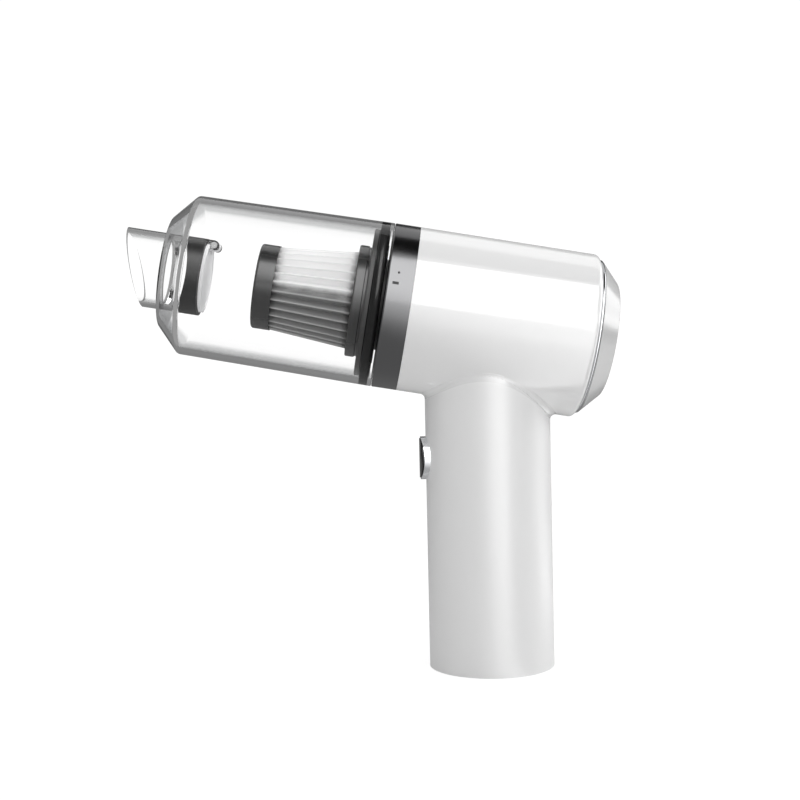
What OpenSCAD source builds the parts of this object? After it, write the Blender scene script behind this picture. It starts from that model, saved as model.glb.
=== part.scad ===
// Mini vacuum cleaner: a cordless hand vacuum shaped like a pistol, standing on the flat end of its handle.
// The origin is the centre of the handle's flat end, +Z runs up the handle and the nozzle points to -X.
// Inside in_barrel() the Z axis is the barrel's own axis: 0 at the collar's rear edge, positive to the rear,
// and +X there points down towards the handle.

/* [Barrel] */
// Outer diameter of the motor barrel
barrel_d = 55.6; // [54:0.1:58]
// Length of the white barrel, from the collar to the trim ring
barrel_len = 60.7; // [59:0.1:66]
// Angle by which the barrel's nose points up
nose_up = 9.9; // [6:0.1:13]
// Distance from the handle's axis forward to the barrel's front end
barrel_reach = 26.2; // [25:0.1:28]
// Height of the barrel's axis at its front end
barrel_z = 121.6; // [120:0.1:128]
// Wall thickness of the two housing shells
wall = 2.0; // [1.8:0.1:2.2]
// Radius that rounds the barrel's rear edge
edge_round = 1.6; // [1:0.1:1.8]

/* [Handle] */
// Outer diameter of the handle
handle_d = 42.4; // [42.2:0.1:44]
// Width of the parting line between the two shells
seam_gap = 0.1; // [0.06:0.02:0.2]
// Radius of the locating pegs on the parting line
peg_r = 1.2; // [1:0.1:1.4]
// Length by which a peg reaches into the other shell
peg_len = 3; // [2:0.1:4]
// Thickness of the plate that closes the handle
foot_t = 2.0; // [1.6:0.1:2.2]

/* [Rear end] */
// Width of the chrome trim ring
trim_len = 1.2; // [0.8:0.1:2]
// Length of the tapered rear cap
cap_len = 6.4; // [5.4:0.1:8]
// Diameter of the rear cap's flat end
cap_face_d = 38.6; // [36:0.1:42]
// Diameter of the air outlet grille
vent_d = 30; // [26:0.1:31]
// Thickness of the air outlet grille
vent_t = 1.6; // [1.2:0.1:1.8]
// Width of each ring and spoke of the grille
vent_bar = 1.2; // [1:0.1:1.4]
// Gap between two rings of the grille
vent_gap = 1.8; // [1.4:0.1:2.2]

/* [Collar] */
// Length of the collar between the barrel and the dust cup
collar_len = 8.5; // [8.5:0.1:10]
// Diameter of the filter carrier's neck, which turns in the collar
neck_d = 30.8; // [30:0.1:32]
// Thickness of the collar's front plate, behind which the bayonet lugs lock
plate_t = 2.0; // [1.6:0.1:2.4]
// Length by which the collar reaches into the barrel
spigot_len = 3.4; // [3.3:0.1:4]
// Height of a bayonet lug above the neck
lug_h = 2.4; // [1.8:0.1:2.6]
// Length of a bayonet lug along the barrel
lug_len = 2.0; // [1.6:0.1:2.6]
// Angle that a bayonet lug covers
lug_angle = 24; // [18:1:30]
// Turn that brings the lugs to the collar's notches
unlock_turn = 35; // [33:1:45]

/* [Dust cup] */
// Length of the clear cup from the collar to its shoulder
cup_len = 65.9; // [65:0.1:70]
// Amount by which the cup's radius shrinks from the collar to the shoulder
cup_draft = 1.0; // [0.6:0.1:1.4]
// Wall thickness of the clear cup
cup_wall = 2.2; // [2:0.1:2.3]
// Length of the cup's tapered nose
nose_len = 7.5; // [6.6:0.1:9]
// Diameter of the cup's flat front face
face_d = 37.4; // [35:0.1:40]
// Radius that rounds the cup's shoulder
shoulder_round = 1.6; // [0.8:0.1:2.4]

/* [Inlet] */
// Outer diameter of the inlet tube
inlet_d = 25.8; // [25.4:0.1:27]
// Bore of the inlet tube
inlet_bore_d = 22.2; // [21.6:0.1:22.4]
// Length of the inlet tube in front of the cup, along its top
inlet_top = 14.9; // [12:0.1:18]
// Length of the inlet tube in front of the cup, along its underside
inlet_bottom = 6.7; // [5:0.1:10]
// Depth of the inlet's inner mouth behind the cup's front face
inlet_inside = 12.2; // [11.5:0.1:13]
// Length of the dark sleeve on the inlet's inner end
sleeve_len = 7.3; // [6.5:0.1:8.5]
// Depth of the hollow cut into the sleeve's front edge at its sides
sleeve_hollow = 3.1; // [2:0.1:3.6]
// Thickness of the sleeve's lip, on which the flap closes
sleeve_lip = 1.5; // [1.2:0.1:2]

/* [Flap] */
// Thickness of the flap
flap_t = 0.8; // [0.6:0.1:1]
// Clearance between the closed flap and the sleeve's mouth
flap_seat = 0.2; // [0.2:0.02:0.3]
// Width by which the flap laps over the inlet's bore
flap_lap = 0.7; // [0.5:0.1:0.8]
// Diameter of the hinge pin
pin_d = 2.1; // [1.9:0.1:2.2]
// Distance of the hinge pin behind the sleeve's mouth
pin_back = 2.5; // [2.4:0.1:2.8]
// Thickness of the hook that curls round the pin
hook_t = 0.5; // [0.4:0.05:0.6]
// Width of each hook
hook_w = 1.8; // [1.4:0.1:2.2]

/* [Filter] */
// Width of the black gasket round the carrier
gasket_w = 3.9; // [3.4:0.1:4.4]
// Height of the gasket round the carrier's hub
gasket_h = 5.3; // [4.4:0.1:6]
// Gap between the gasket and the collar
gasket_gap = 0.9; // [0.6:0.1:1.2]
// Thickness of the carrier's flange plate
flange_t = 1.6; // [1.4:0.1:1.8]
// Length of the filter's base ring
frame_len = 4.1; // [3.6:0.1:4.6]
// Diameter of the filter's base ring
frame_d = 37.8; // [36:0.1:40]
// Length of the pleated paper
media_len = 26.3; // [22:0.1:27]
// Diameter of the pleated paper at its front end
media_front_d = 28.6; // [28:0.1:31]
// Diameter of the pleated paper at its base
media_base_d = 33.6; // [32:0.1:35]
// Number of pleats
pleats = 30; // [24:1:36]
// Depth of the pleats at the front end
pleat_depth = 2.6; // [2:0.1:2.8]
// Thickness of the paper, measured along the radius
paper_t = 1.0; // [0.8:0.1:1.2]
// Length of the filter's end cap
filter_cap_len = 6.2; // [5:0.1:6.8]
// Diameter of the socket in the carrier that takes the filter's neck
socket_d = 24.7; // [24.3:0.1:25.2]
// Radius of the air passage through the filter's neck and the carrier
air_r = 10.5; // [10:0.1:10.8]

/* [Motor] */
// Diameter of the motor can
motor_d = 27.7; // [26:0.1:28]
// Length of the motor can
motor_len = 30; // [28:0.1:31]
// Diameter of the motor shaft
shaft_d = 2.3; // [2:0.1:2.4]
// Wall thickness of the motor can
can_t = 1.0; // [0.8:0.1:1.2]
// Width of the air slots round the impeller
air_slot_w = 2.6; // [1.6:0.1:3.6]
// Height of the impeller's blades
blade_h = 6.2; // [5:0.1:6.6]
// Number of impeller blades
blades = 9; // [7:1:11]
// Sweep of each blade from its root to its tip
blade_sweep = 48; // [30:1:60]
// Thickness of the fan cover's and the motor bracket's plates
fan_t = 1.8; // [1.6:0.1:2]
// Depth of the fan chamber
chamber_len = 10.3; // [10.3:0.1:11]

/* [Button] */
// Height of the button's centre above the foot
button_z = 71; // [69:0.1:71]
// Outer diameter of the chrome bezel
bezel_d = 14.6; // [14:0.1:15.2]
// Thickness of the bezel's ring
bezel_t = 0.55; // [0.45:0.05:0.7]
// Distance by which the button stands out from the handle
button_proud = 2.2; // [1.6:0.1:2.6]
// Travel of the button
button_travel = 1.0; // [0.6:0.1:1]

/* [Battery] */
// Diameter of a battery cell
cell_d = 18.4; // [18:0.1:18.5]
// Length of a battery cell
cell_len = 65; // [64:0.1:65]
// Distance between the axes of the two cells
cell_pitch = 19; // [18.9:0.1:19.2]

/* [Charging] */
// Width of the charging socket
usb_w = 9.0; // [8.8:0.1:9.4]
// Height of the charging socket
usb_h = 3.2; // [3:0.1:3.3]
// Thickness of the circuit boards
board_t = 1.2; // [1:0.1:1.4]
// Distance of the charging light to the side of the socket
light_y = 8; // [7.5:0.1:9]

/* [Fits] */
// Clearance between pieces that are fixed together
fit = 0.1; // [0.06:0.01:0.14]
// Radial clearance of pieces that turn or slide in each other
run = 0.06; // [0.03:0.01:0.09]
// Clearance between the gasket and the cup's wall
seal = 0.3; // [0.2:0.05:0.4]

/* [Hidden] */

// Overlap that keeps cuts and unions clean
o = 0.05;
fine = 128;
medium = 64;
small = 32;

// Barrel and handle
barrel_r = barrel_d / 2;
bore_r = barrel_r - wall;
handle_r = handle_d / 2;
grip_r = handle_r - wall;
handle_top = barrel_z - barrel_reach * tan(nose_up);
bead = 0.3;

// Stations along the barrel's axis
a_collar = -collar_len;
a_gasket_rear = a_collar - gasket_gap;
a_gasket = a_gasket_rear - gasket_w;
a_flange = a_gasket - flange_t;
a_frame = a_flange - frame_len;
a_media = a_frame - media_len;
a_cap = a_media - filter_cap_len;
a_shoulder = a_collar - cup_len;
a_face = a_shoulder - nose_len;
a_tip = a_face - inlet_top;
a_sleeve_rear = a_face + inlet_inside;
a_sleeve = a_sleeve_rear - sleeve_len;
a_stub = a_sleeve_rear - sleeve_lip;

// Rear end
trim_r = barrel_r - edge_round + fit;
trim_bore_r = bore_r - fit - 1.7;
cap_spigot_r = trim_bore_r - fit;
cap_face_r = cap_face_d / 2;
vent_r = vent_d / 2;
a_trim = barrel_len;
a_rear_cap = a_trim + trim_len;
a_rear = a_rear_cap + cap_len;
a_vent = a_rear - vent_t - 0.2;

// Collar, carrier and filter
neck_r = neck_d / 2;
lug_r = neck_r + lug_h;
duct_r = lug_r + 0.4;
duct_t = 2;
grille_r = duct_r + 0.7;
a_neck = a_gasket_rear + 8;
a_lug = a_collar + plate_t + run;
a_intake = spigot_len - 2;
cup_rear_r = barrel_r;
cup_shoulder_r = barrel_r - cup_draft;
cup_bore_r = cup_rear_r - cup_wall;
gasket_r = cup_bore_r - seal;
hub_r = gasket_r - gasket_h;
flange_r = gasket_r - 0.4;
a_cup = a_collar - fit;
socket_r = socket_d / 2;
socket_depth = 5;
groove_r = socket_r + 1.5;
groove_start = 2.2;
groove_len = 2.2;
filter_lug_h = 1.2;
filter_lug_angle = 30;
filter_turn = 45;
media_front_r = media_front_d / 2;
media_base_r = media_base_d / 2;
frame_r = frame_d / 2;
core_front_r = media_front_r - pleat_depth - paper_t - 0.3;
core_base_r = core_front_r * media_base_r / media_front_r;
core_t = 1.2;

// Inlet and flap
inlet_r = inlet_d / 2;
inlet_bore_r = inlet_bore_d / 2;
sleeve_r = inlet_r + 0.1;
stub_r = inlet_r - 0.9;
inlet_slant = atan((inlet_top - inlet_bottom) / inlet_d);
hollow_r = (pow(sleeve_r, 2) + pow(sleeve_hollow, 2)) / (2 * sleeve_hollow);
pin_r = pin_d / 2;
eye_r = pin_r + run;
hook_r = eye_r + hook_t;
pin_x = -(sleeve_r - 0.5 - hook_r);
a_pin = a_sleeve_rear + pin_back;
knuckle_w = 5.2;
hook_y = knuckle_w / 2 + 0.2;
a_flap = a_sleeve_rear + flap_seat;
flap_r = inlet_bore_r + flap_lap;

// Fan and motor
a_fan = spigot_len;
fan_r = bore_r - 2 * fit;
skirt_t = 1.8;
a_bracket = a_fan + fan_t + chamber_len;
a_motor = a_bracket + fan_t;
motor_r = motor_d / 2;
a_bell = a_motor + motor_len;
bell_t = 2;
shaft_r = shaft_d / 2;
bush_r = 3;
boss_r = 4;
slot_out_r = fan_r - skirt_t - 0.8;
impeller_r = slot_out_r - air_slot_w - 0.4;
disc_t = 1.2;
a_disc = a_bracket - 1.1 - disc_t;
a_blade = a_disc - blade_h;
eye_d = 17;
bolt_ring = 8;
bolt_r = 1.2;
magnet_t = 2.1;
rotor_r = motor_r - can_t - magnet_t - 0.6;
a_core = a_motor + 6.7;
core_len = 16;
comm_r = 2.6;
a_comm = a_core + core_len + 2.4;
comm_len = 4;
a_damper = a_bell - 6.8;
damper_len = 4;
damper_r = motor_r + 2.5;

// Button and switch: distances are measured forward from the handle's axis
bezel_r = bezel_d / 2;
cap_r = bezel_r - bezel_t - run;
cap_front = handle_r + button_proud;
bezel_front = cap_front - 0.3;
bezel_flange_r = bezel_r + 1.3;
flange_front = sqrt(pow(grip_r, 2) - pow(bezel_flange_r, 2)) - 0.02;
bezel_back = flange_front - 1.2;
cap_flange_t = 0.8;
cap_back = bezel_back - run - cap_flange_t;
switch_size = 6.2;
plunger_r = 1.75;
plunger_tip = bezel_back + 1.2;
switch_front = cap_back + 0.5;
board_face = cap_back - button_travel - 1.6;
board_w = 14;
board_low = button_z - 9;
board_high = button_z + 6;

// Battery and charging
cell_r = cell_d / 2;
holder_r = grip_r - 2 * fit;
rib_t = 1.4;
rib_in = 1.6;
board_z = foot_t + 2;
usb_z = board_z + board_t;
rib_low = usb_z + usb_h + 0.6;
holder_t = 1.5;
tab_t = 0.3;
tab_w = 6;
tab_end = cell_pitch / 2 + 3.5;
tab_start = cell_pitch / 2 - 4.5;
cell_z = rib_low + rib_t + holder_t + tab_t;
cell_top = cell_z + cell_len;
rib_high = cell_top + tab_t + holder_t;
usb_len = 7.4;
usb_face = sqrt(pow(handle_r, 2) - pow(usb_w / 2, 2)) - 0.3;
light_r = 0.9;
screw_y = 11;
light_z = usb_z + usb_h / 2;

// Unit vector along v
function unit(v) = v / norm(v);

// Vector v turned by angle t
function turned(v, t) = [v.x * cos(t) - v.y * sin(t), v.x * sin(t) + v.y * cos(t)];

// Arc that rounds the corner at q between its neighbours p and s
function corner(p, q, s, r, n = 5) =
  let (
    u = unit(p - q),
    v = unit(s - q),
    half = acos(u * v) / 2,
    c = q + unit(u + v) * r / sin(half),
    from = q + u * r / tan(half) - c,
    to = q + v * r / tan(half) - c,
    sweep = atan2(from.x * to.y - from.y * to.x, from * to)
  )
  [for (i = [0:n]) c + turned(from, sweep * i / n)];

// Outline whose points are [x, y] or [x, y, rounding radius]
function rounded(pts) =
  let (n = len(pts), xy = [for (p = pts) [p.x, p.y]])
  [for (i = [0:n - 1])
    each len(pts[i]) > 2 ? corner(xy[(i + n - 1) % n], xy[i], xy[(i + 1) % n], pts[i][2]) : [xy[i]]];

// Places its children on the barrel's axis
module in_barrel() {
  translate([-barrel_reach, 0, barrel_z]) rotate([0, 90 + nose_up, 0]) children();
}

// Places its children with Z pointing forward out of the handle at the button's height
module at_button() {
  translate([0, 0, button_z]) rotate([0, -90, 0]) children();
}

// Solid of revolution from an outline of [radius, station] points
module revolve(pts) {
  rotate_extrude($fn = fine) polygon(rounded(pts));
}

// Ring between two radii and two stations
module tube(r_out, r_in, from, to, sides = fine) {
  translate([0, 0, from]) difference() {
    cylinder(r = r_out, h = to - from, $fn = sides);
    translate([0, 0, -o]) cylinder(r = r_in, h = to - from + 2 * o, $fn = sides);
  }
}

// Block that fills an angle of a ring, centred on angle mid
module sector(r_out, r_in, from, to, mid, angle) {
  rotate([0, 0, mid - angle / 2])
    rotate_extrude(angle = angle, $fn = fine) translate([r_in, from]) square([r_out - r_in, to - from]);
}

// Plate with two round ends, w wide and h high, centred
module slot_2d(w, h) {
  square([w - h, h], center = true);
  for (s = [-1, 1]) translate([s * (w - h) / 2, 0]) circle(d = h, $fn = small);
}

// Outside of the housing: barrel and handle in one
module housing_outside() {
  in_barrel() revolve([[0, 0], [barrel_r, 0], [barrel_r, barrel_len, edge_round], [0, barrel_len]]);
  cylinder(r = handle_r, h = handle_top, $fn = fine);
}

// Space inside the housing
module housing_inside() {
  in_barrel() translate([0, 0, -1]) cylinder(r = bore_r, h = barrel_len + 2, $fn = fine);
  translate([0, 0, -1]) cylinder(r = grip_r, h = handle_top + 1, $fn = fine);
}

// Centres of the peg bosses in the barrel, as [x, station]
barrel_pegs = [[-(bore_r - 3.5), a_motor + 7], [-(bore_r - 3.5), barrel_len - 6.7]];
// Centres of the peg bosses in the handle, as [x, height]
handle_pegs = [
  [-(grip_r - 2.8), 28], [grip_r - 2.8, 28],
  [-(grip_r - 2.8), rib_high + rib_t + 5], [grip_r - 2.8, rib_high + rib_t + 4]
];

// Pegs or their holes, r thick, between two distances from the parting line
module on_pegs(r, from, to) {
  in_barrel() for (p = barrel_pegs)
    translate([p.x, from, p.y]) rotate([-90, 0, 0]) cylinder(r = r, h = to - from, $fn = small);
  for (p = handle_pegs)
    translate([p.x, from, p.y]) rotate([-90, 0, 0]) cylinder(r = r, h = to - from, $fn = small);
}

// Ribs, bosses and rails inside both shells
module housing_ribs() {
  in_barrel() {
    tube(bore_r + wall / 2, bore_r - 2.4, a_motor, a_motor + rib_in);
    tube(damper_r + 1.65, damper_r + run, a_damper + 1, a_damper + damper_len - 1);
    for (t = [45:90:315]) rotate([0, 0, t])
      translate([damper_r + 1, -0.8, a_damper + 1]) cube([bore_r - damper_r, 1.6, damper_len - 2]);
  }
  for (z = [rib_low, rib_high]) tube(grip_r + wall / 2, grip_r - rib_in, z, z + rib_t);
  on_pegs(peg_r + 1.3, -9.5, 9.5);
  for (s = [-1, 1]) difference() {
    translate([-board_face - 1.4, s > 0 ? 6.2 : -18, board_low - 2]) cube([board_t + 2.2, 11.8, 17]);
    translate([-board_face - fit, s > 0 ? 0 : -board_w / 2 - fit, board_low - fit])
      cube([board_t + 2 * fit, board_w / 2 + fit, 20]);
  }
}

// Openings for the button, the charging socket and the snap beads
module housing_openings() {
  at_button() cylinder(r = bezel_r + fit / 2, h = handle_r + 5, $fn = medium);
  translate([grip_r - 3, 0, light_z]) rotate([90, 0, 90]) linear_extrude(8) slot_2d(usb_w + 0.5, usb_h + 0.5);
  tube(grip_r + bead + fit, grip_r - 1, foot_t + 2, foot_t + 3.2);
  in_barrel() {
    tube(bore_r + bead + fit, bore_r - 1, 1.1, 2.9);
    tube(bore_r + bead + fit, bore_r - 1, a_trim - 2.3, a_trim - 0.9);
  }
}

// One half of the housing: side is -1 for the left shell and 1 for the right
module half_housing(side) {
  difference() {
    intersection() {
      union() {
        difference() {
          housing_outside();
          housing_inside();
        }
        intersection() {
          housing_ribs();
          housing_outside();
        }
      }
      translate([-150, side > 0 ? seam_gap / 2 : -100 - seam_gap / 2, -10]) cube([300, 100, 300]);
    }
    housing_openings();
    if (side > 0) {
      on_pegs(peg_r + run, -1, peg_len + 0.4);
      translate([grip_r - 3, light_y, light_z]) rotate([0, 90, 0])
        cylinder(r = light_r + fit, h = 8, $fn = small);
    }
  }
}

// Left half of the housing, with the locating pegs
module left_shell() {
  color("white") {
    half_housing(-1);
    on_pegs(peg_r, -4, peg_len);
  }
}

// Right half of the housing, with the peg holes and the hole of the charging light
module right_shell() {
  color("white") half_housing(1);
}

// Collar with the front plate and notches that hold the filter carrier's bayonet
module collar() {
  color("dimgray") in_barrel() difference() {
    revolve([
      [neck_r + run, a_collar], [barrel_r, a_collar, 0.4], [barrel_r, -o],
      [bore_r - fit, -o], [bore_r - fit, 1.3], [bore_r - fit + bead, 1.7], [bore_r - fit + bead, 2.3],
      [bore_r - fit, 2.7], [bore_r - fit, spigot_len], [bore_r - fit - 1.6, spigot_len],
      [bore_r - fit - 1.6, a_collar + plate_t], [duct_r + duct_t, a_collar + plate_t],
      [duct_r + duct_t, spigot_len], [grille_r + fit, spigot_len], [grille_r + fit, a_intake],
      [duct_r, a_intake], [duct_r, a_collar + plate_t], [neck_r + run, a_collar + plate_t]
    ]);
    for (i = [0, 1])
      sector(lug_r + 2 * fit, neck_r - 1, a_collar - 1, a_collar + plate_t + 1, 90 + unlock_turn + 180 * i,
        lug_angle + 4);
  }
}

// Grille that keeps fingers and grit out of the fan
module intake_grille() {
  color("dimgray") in_barrel() {
    tube(grille_r, grille_r - 2.2, a_intake, spigot_len - fit);
    for (r = [10.5, 5.5]) tube(r, r - vent_bar, a_intake, a_intake + 1.4, medium);
    for (t = [0:60:300]) rotate([0, 0, t])
      translate([4.9, -vent_bar / 2, a_intake + 0.2]) cube([grille_r - 6, vent_bar, 1]);
  }
}

// Front half of the fan chamber, with the inlet eye
module fan_cover() {
  color("gray") in_barrel() revolve([
    [eye_d / 2, a_fan], [fan_r, a_fan], [fan_r, a_bracket], [fan_r - skirt_t, a_bracket],
    [fan_r - skirt_t, a_fan + fan_t, 1.2], [eye_d / 2 + 1.2, a_fan + fan_t],
    [eye_d / 2 + 1.2, a_fan + fan_t + 0.8],
    [eye_d / 2, a_fan + fan_t + 0.8]
  ]);
}

// Rear plate of the fan chamber, which carries the motor and lets the air past it
module motor_bracket() {
  color("gray") in_barrel() difference() {
    union() {
      cylinder_at(fan_r, a_bracket, a_motor);
      tube(motor_r + fit + 1.5, motor_r + fit, a_motor, a_motor + 4);
    }
    cylinder_at(boss_r + fit, a_bracket - 1, a_motor + 1);
    for (t = [0:40:320]) sector(slot_out_r, impeller_r + 0.4, a_bracket - 1, a_motor + 1, t, 26);
    for (s = [-1, 1]) translate([0, s * bolt_ring, 0]) {
      cylinder_at(bolt_r + fit, a_bracket - 1, a_motor + 1);
      cylinder_at(2.2 + fit, a_bracket - 1, a_bracket + 1);
    }
  }
}

// Solid disc between two stations
module cylinder_at(r, from, to, sides = medium) {
  translate([0, 0, from]) cylinder(r = r, h = to - from, $fn = sides);
}

// Two screws that hold the motor to its bracket
module motor_screws() {
  color("silver") in_barrel() for (s = [-1, 1]) translate([0, s * bolt_ring, 0]) difference() {
    union() {
      cylinder_at(2.2, a_bracket, a_bracket + 1, small);
      cylinder_at(bolt_r, a_bracket, a_motor + 3.2, small);
    }
    cylinder_at(0.8, a_bracket - 1, a_bracket + 0.6, 6);
  }
}

// Steel can of the motor, open at the rear
module motor_can() {
  color("silver") in_barrel() difference() {
    revolve([
      [bush_r + run, a_motor - 1.4], [boss_r, a_motor - 1.4], [boss_r, a_motor], [motor_r, a_motor, 0.8],
      [motor_r, a_bell], [motor_r - can_t, a_bell], [motor_r - can_t, a_motor + can_t],
      [bush_r + run, a_motor + can_t]
    ]);
    for (s = [-1, 1]) translate([0, s * bolt_ring, 0])
      cylinder_at(bolt_r + run, a_motor - 1, a_motor + 2, small);
  }
}

// Plastic end bell with the brush holders and the terminal slots
module motor_end_bell() {
  color("ivory") in_barrel() difference() {
    union() {
      revolve([
        [bush_r + run, a_bell - 0.6], [motor_r - can_t - fit - 1.2, a_bell - 0.6],
        [motor_r - can_t - fit - 1.2, a_bell - 2], [motor_r - can_t - fit, a_bell - 2],
        [motor_r - can_t - fit, a_bell], [motor_r, a_bell], [motor_r, a_bell + bell_t, 0.6],
        [4.6, a_bell + bell_t], [4.6, a_bell + bell_t + 1.6], [bush_r + run, a_bell + bell_t + 1.6]
      ]);
      for (s = [-1, 1]) translate([-2.6, s > 0 ? 3.8 : -9.8, a_comm + 0.4]) cube([5.2, 6, a_bell - a_comm]);
    }
    for (s = [-1, 1]) {
      translate([-1.5 - fit, s > 0 ? 2 : -8.2, a_comm + 1.2]) cube([3 + 2 * fit, 6.2, 2.4 + fit]);
      translate([6.5, s * 5 - 1.4, a_bell - 1]) cube([0.8, 2.8, bell_t + 2]);
    }
  }
}

// Two arc magnets bonded inside the can
module motor_magnets() {
  color("darkslategray") in_barrel() for (t = [0, 180])
    sector(motor_r - can_t - 0.04, motor_r - can_t - magnet_t, a_core - 1.5, a_core + core_len + 1.5, t, 130);
}

// Two sintered bronze bushes that carry the shaft
module motor_bushes() {
  color("goldenrod") in_barrel() {
    tube(bush_r, shaft_r + run, a_motor - 1.2, a_motor + can_t, small);
    tube(bush_r, shaft_r + run, a_bell - 0.4, a_bell + bell_t + 1.2, small);
  }
}

// Two carbon brushes on the commutator
module motor_brushes() {
  color("black") in_barrel() for (s = [-1, 1])
    translate([-1.5, s > 0 ? comm_r + fit : -7.9, a_comm + 1.25]) cube([3, 7.9 - comm_r - fit, 2.3]);
}

// Rubber ring between the motor and its cradle
module motor_damper() {
  color("dimgray") in_barrel() revolve([
    [motor_r + 0.04, a_damper], [damper_r + 0.6, a_damper], [damper_r + 0.6, a_damper + 1 - 0.04],
    [damper_r, a_damper + 1 - 0.04], [damper_r, a_damper + damper_len - 1 + 0.04],
    [damper_r + 0.6, a_damper + damper_len - 1 + 0.04], [damper_r + 0.6, a_damper + damper_len],
    [motor_r + 0.04, a_damper + damper_len]
  ]);
}

// Chrome ring between the barrel and the rear cap
module trim_ring() {
  color("gainsboro") in_barrel() revolve([
    [trim_bore_r, a_trim - 2.7], [bore_r - fit, a_trim - 2.7], [bore_r - fit, a_trim - 2.1],
    [bore_r - fit + bead, a_trim - 1.8], [bore_r - fit + bead, a_trim - 1.4], [bore_r - fit, a_trim - 1.1],
    [bore_r - fit, a_trim], [trim_r, a_trim], [trim_r, a_rear_cap, 0.3], [trim_bore_r, a_rear_cap]
  ]);
}

// Tapered cap with the seat of the air outlet grille
module rear_cap() {
  color("whitesmoke") in_barrel() revolve([
    [cap_spigot_r - 1.6, a_trim - 3], [cap_spigot_r, a_trim - 3], [cap_spigot_r, a_rear_cap],
    [trim_r - 0.2, a_rear_cap], [cap_face_r, a_rear, 1.2], [vent_r + 0.2, a_rear, 0.4], [vent_r + 0.2, a_vent],
    [vent_r - 1.4, a_vent], [vent_r - 1.4, a_vent - 1.2], [cap_face_r - 2.8, a_vent - 1.2],
    [cap_spigot_r - 1.6, a_rear_cap + 0.4]
  ]);
}

// Ring grille of the air outlet
module exhaust_grille() {
  color("dimgray") in_barrel() {
    tube(vent_r, vent_r - 2, a_vent, a_vent + vent_t);
    for (r = [vent_r - 2 - vent_gap : -vent_gap - vent_bar : 3.4])
      tube(r, r - vent_bar, a_vent, a_vent + vent_t, medium);
    cylinder_at(2.2, a_vent, a_vent + vent_t, small);
    for (t = [0:60:300]) rotate([0, 0, t])
      translate([1.6, -vent_bar / 2, a_vent]) cube([vent_r - 2.6, vent_bar, vent_t - 0.4]);
  }
}

// Plate that closes the handle, with a snap ring and the shelf of the charging board
module foot_cap() {
  color("whitesmoke") difference() {
    union() {
      revolve([
        [0, 0], [grip_r - fit, 0, 0.3], [grip_r - fit, foot_t + 2.2], [grip_r - fit + bead, foot_t + 2.4],
        [grip_r - fit + bead, foot_t + 2.8], [grip_r - fit, foot_t + 3], [grip_r - fit, foot_t + 3.6],
        [grip_r - 1.9, foot_t + 3.6], [grip_r - 1.9, foot_t], [grip_r - 3.4, foot_t], [grip_r - 3.4, board_z],
        [grip_r - 5, board_z], [grip_r - 5, foot_t], [0, foot_t]
      ]);
      for (s = [-1, 1]) translate([0, s * screw_y, foot_t - o])
        cylinder(r = 2.4, h = board_z - foot_t + o, $fn = small);
    }
    for (s = [-1, 1]) translate([0, s * screw_y, foot_t - 0.6]) cylinder(r = 0.85, h = 5, $fn = small);
    translate([grip_r - 4, -usb_w / 2 - 0.6, board_z - 0.2]) cube([6, usb_w + 1.2, 5]);
  }
}

// Chrome bezel that lines the button's hole, with a flange inside the handle
module button_bezel() {
  color("gainsboro") intersection() {
    at_button() difference() {
      union() {
        translate([0, 0, bezel_back]) cylinder(r = bezel_r, h = 12, $fn = medium);
        translate([0, 0, bezel_back]) cylinder(r = bezel_flange_r, h = flange_front - bezel_back, $fn = medium);
      }
      translate([0, 0, bezel_back - 1]) cylinder(r = bezel_r - bezel_t, h = 15, $fn = medium);
    }
    translate([0, 0, button_z - 20]) cylinder(r = bezel_front, h = 40, $fn = fine);
  }
}

// Push button whose face follows the curve of the handle
module button_cap() {
  color("#202020") intersection() {
    at_button() difference() {
      union() {
        translate([0, 0, cap_back]) cylinder(r = cap_r, h = 14, $fn = medium);
        translate([0, 0, cap_back]) cylinder(r = bezel_flange_r - 0.9, h = cap_flange_t, $fn = medium);
      }
      translate([0, 0, cap_back - 1]) tube(cap_r - 1.05, 1.6, 0, handle_r - cap_back - 0.2, small);
      translate([0, 0, cap_back - 1]) cylinder(r = 3, h = plunger_tip - cap_back + 1, $fn = small);
    }
    translate([0, 0, button_z - 20]) cylinder(r = cap_front, h = 40, $fn = fine);
  }
}

// Body of the push switch
module tact_switch() {
  color("#303030") at_button() difference() {
    translate([-switch_size / 2, -switch_size / 2, board_face])
      cube([switch_size, switch_size, switch_front - board_face]);
    translate([0, 0, switch_front - button_travel - 1.4]) cylinder(r = plunger_r + run, h = 5, $fn = small);
  }
}

// Plunger of the switch, pressed by the button
module switch_plunger() {
  color("#404040") at_button() translate([0, 0, switch_front - 1])
    cylinder(r = plunger_r, h = plunger_tip - switch_front + 1, $fn = small);
}

// Board that carries the switch, held in the shells' rails
module switch_board() {
  color("seagreen") translate([-board_face, -board_w / 2, board_low])
    cube([board_t, board_w, board_high - board_low]);
}

// Round charging board on the foot cap
module charge_board() {
  color("seagreen") difference() {
    translate([0, 0, board_z]) cylinder(r = grip_r - 2.2, h = board_t, $fn = medium);
    for (s = [-1, 1]) translate([0, s * screw_y, board_z - 1]) cylinder(r = 1.1, h = 4, $fn = small);
  }
}

// Two screws that hold the charging board
module board_screws() {
  color("silver") for (s = [-1, 1]) translate([0, s * screw_y, 0]) difference() {
    union() {
      translate([0, 0, foot_t - 0.4]) cylinder(r = 0.8, h = board_z + board_t - foot_t + 0.4, $fn = small);
      translate([0, 0, board_z + board_t]) cylinder(r = 1.8, h = 1.2, $fn = small);
    }
    translate([0, 0, board_z + board_t + 0.5]) cylinder(r = 0.7, h = 2, $fn = 6);
  }
}

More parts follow.
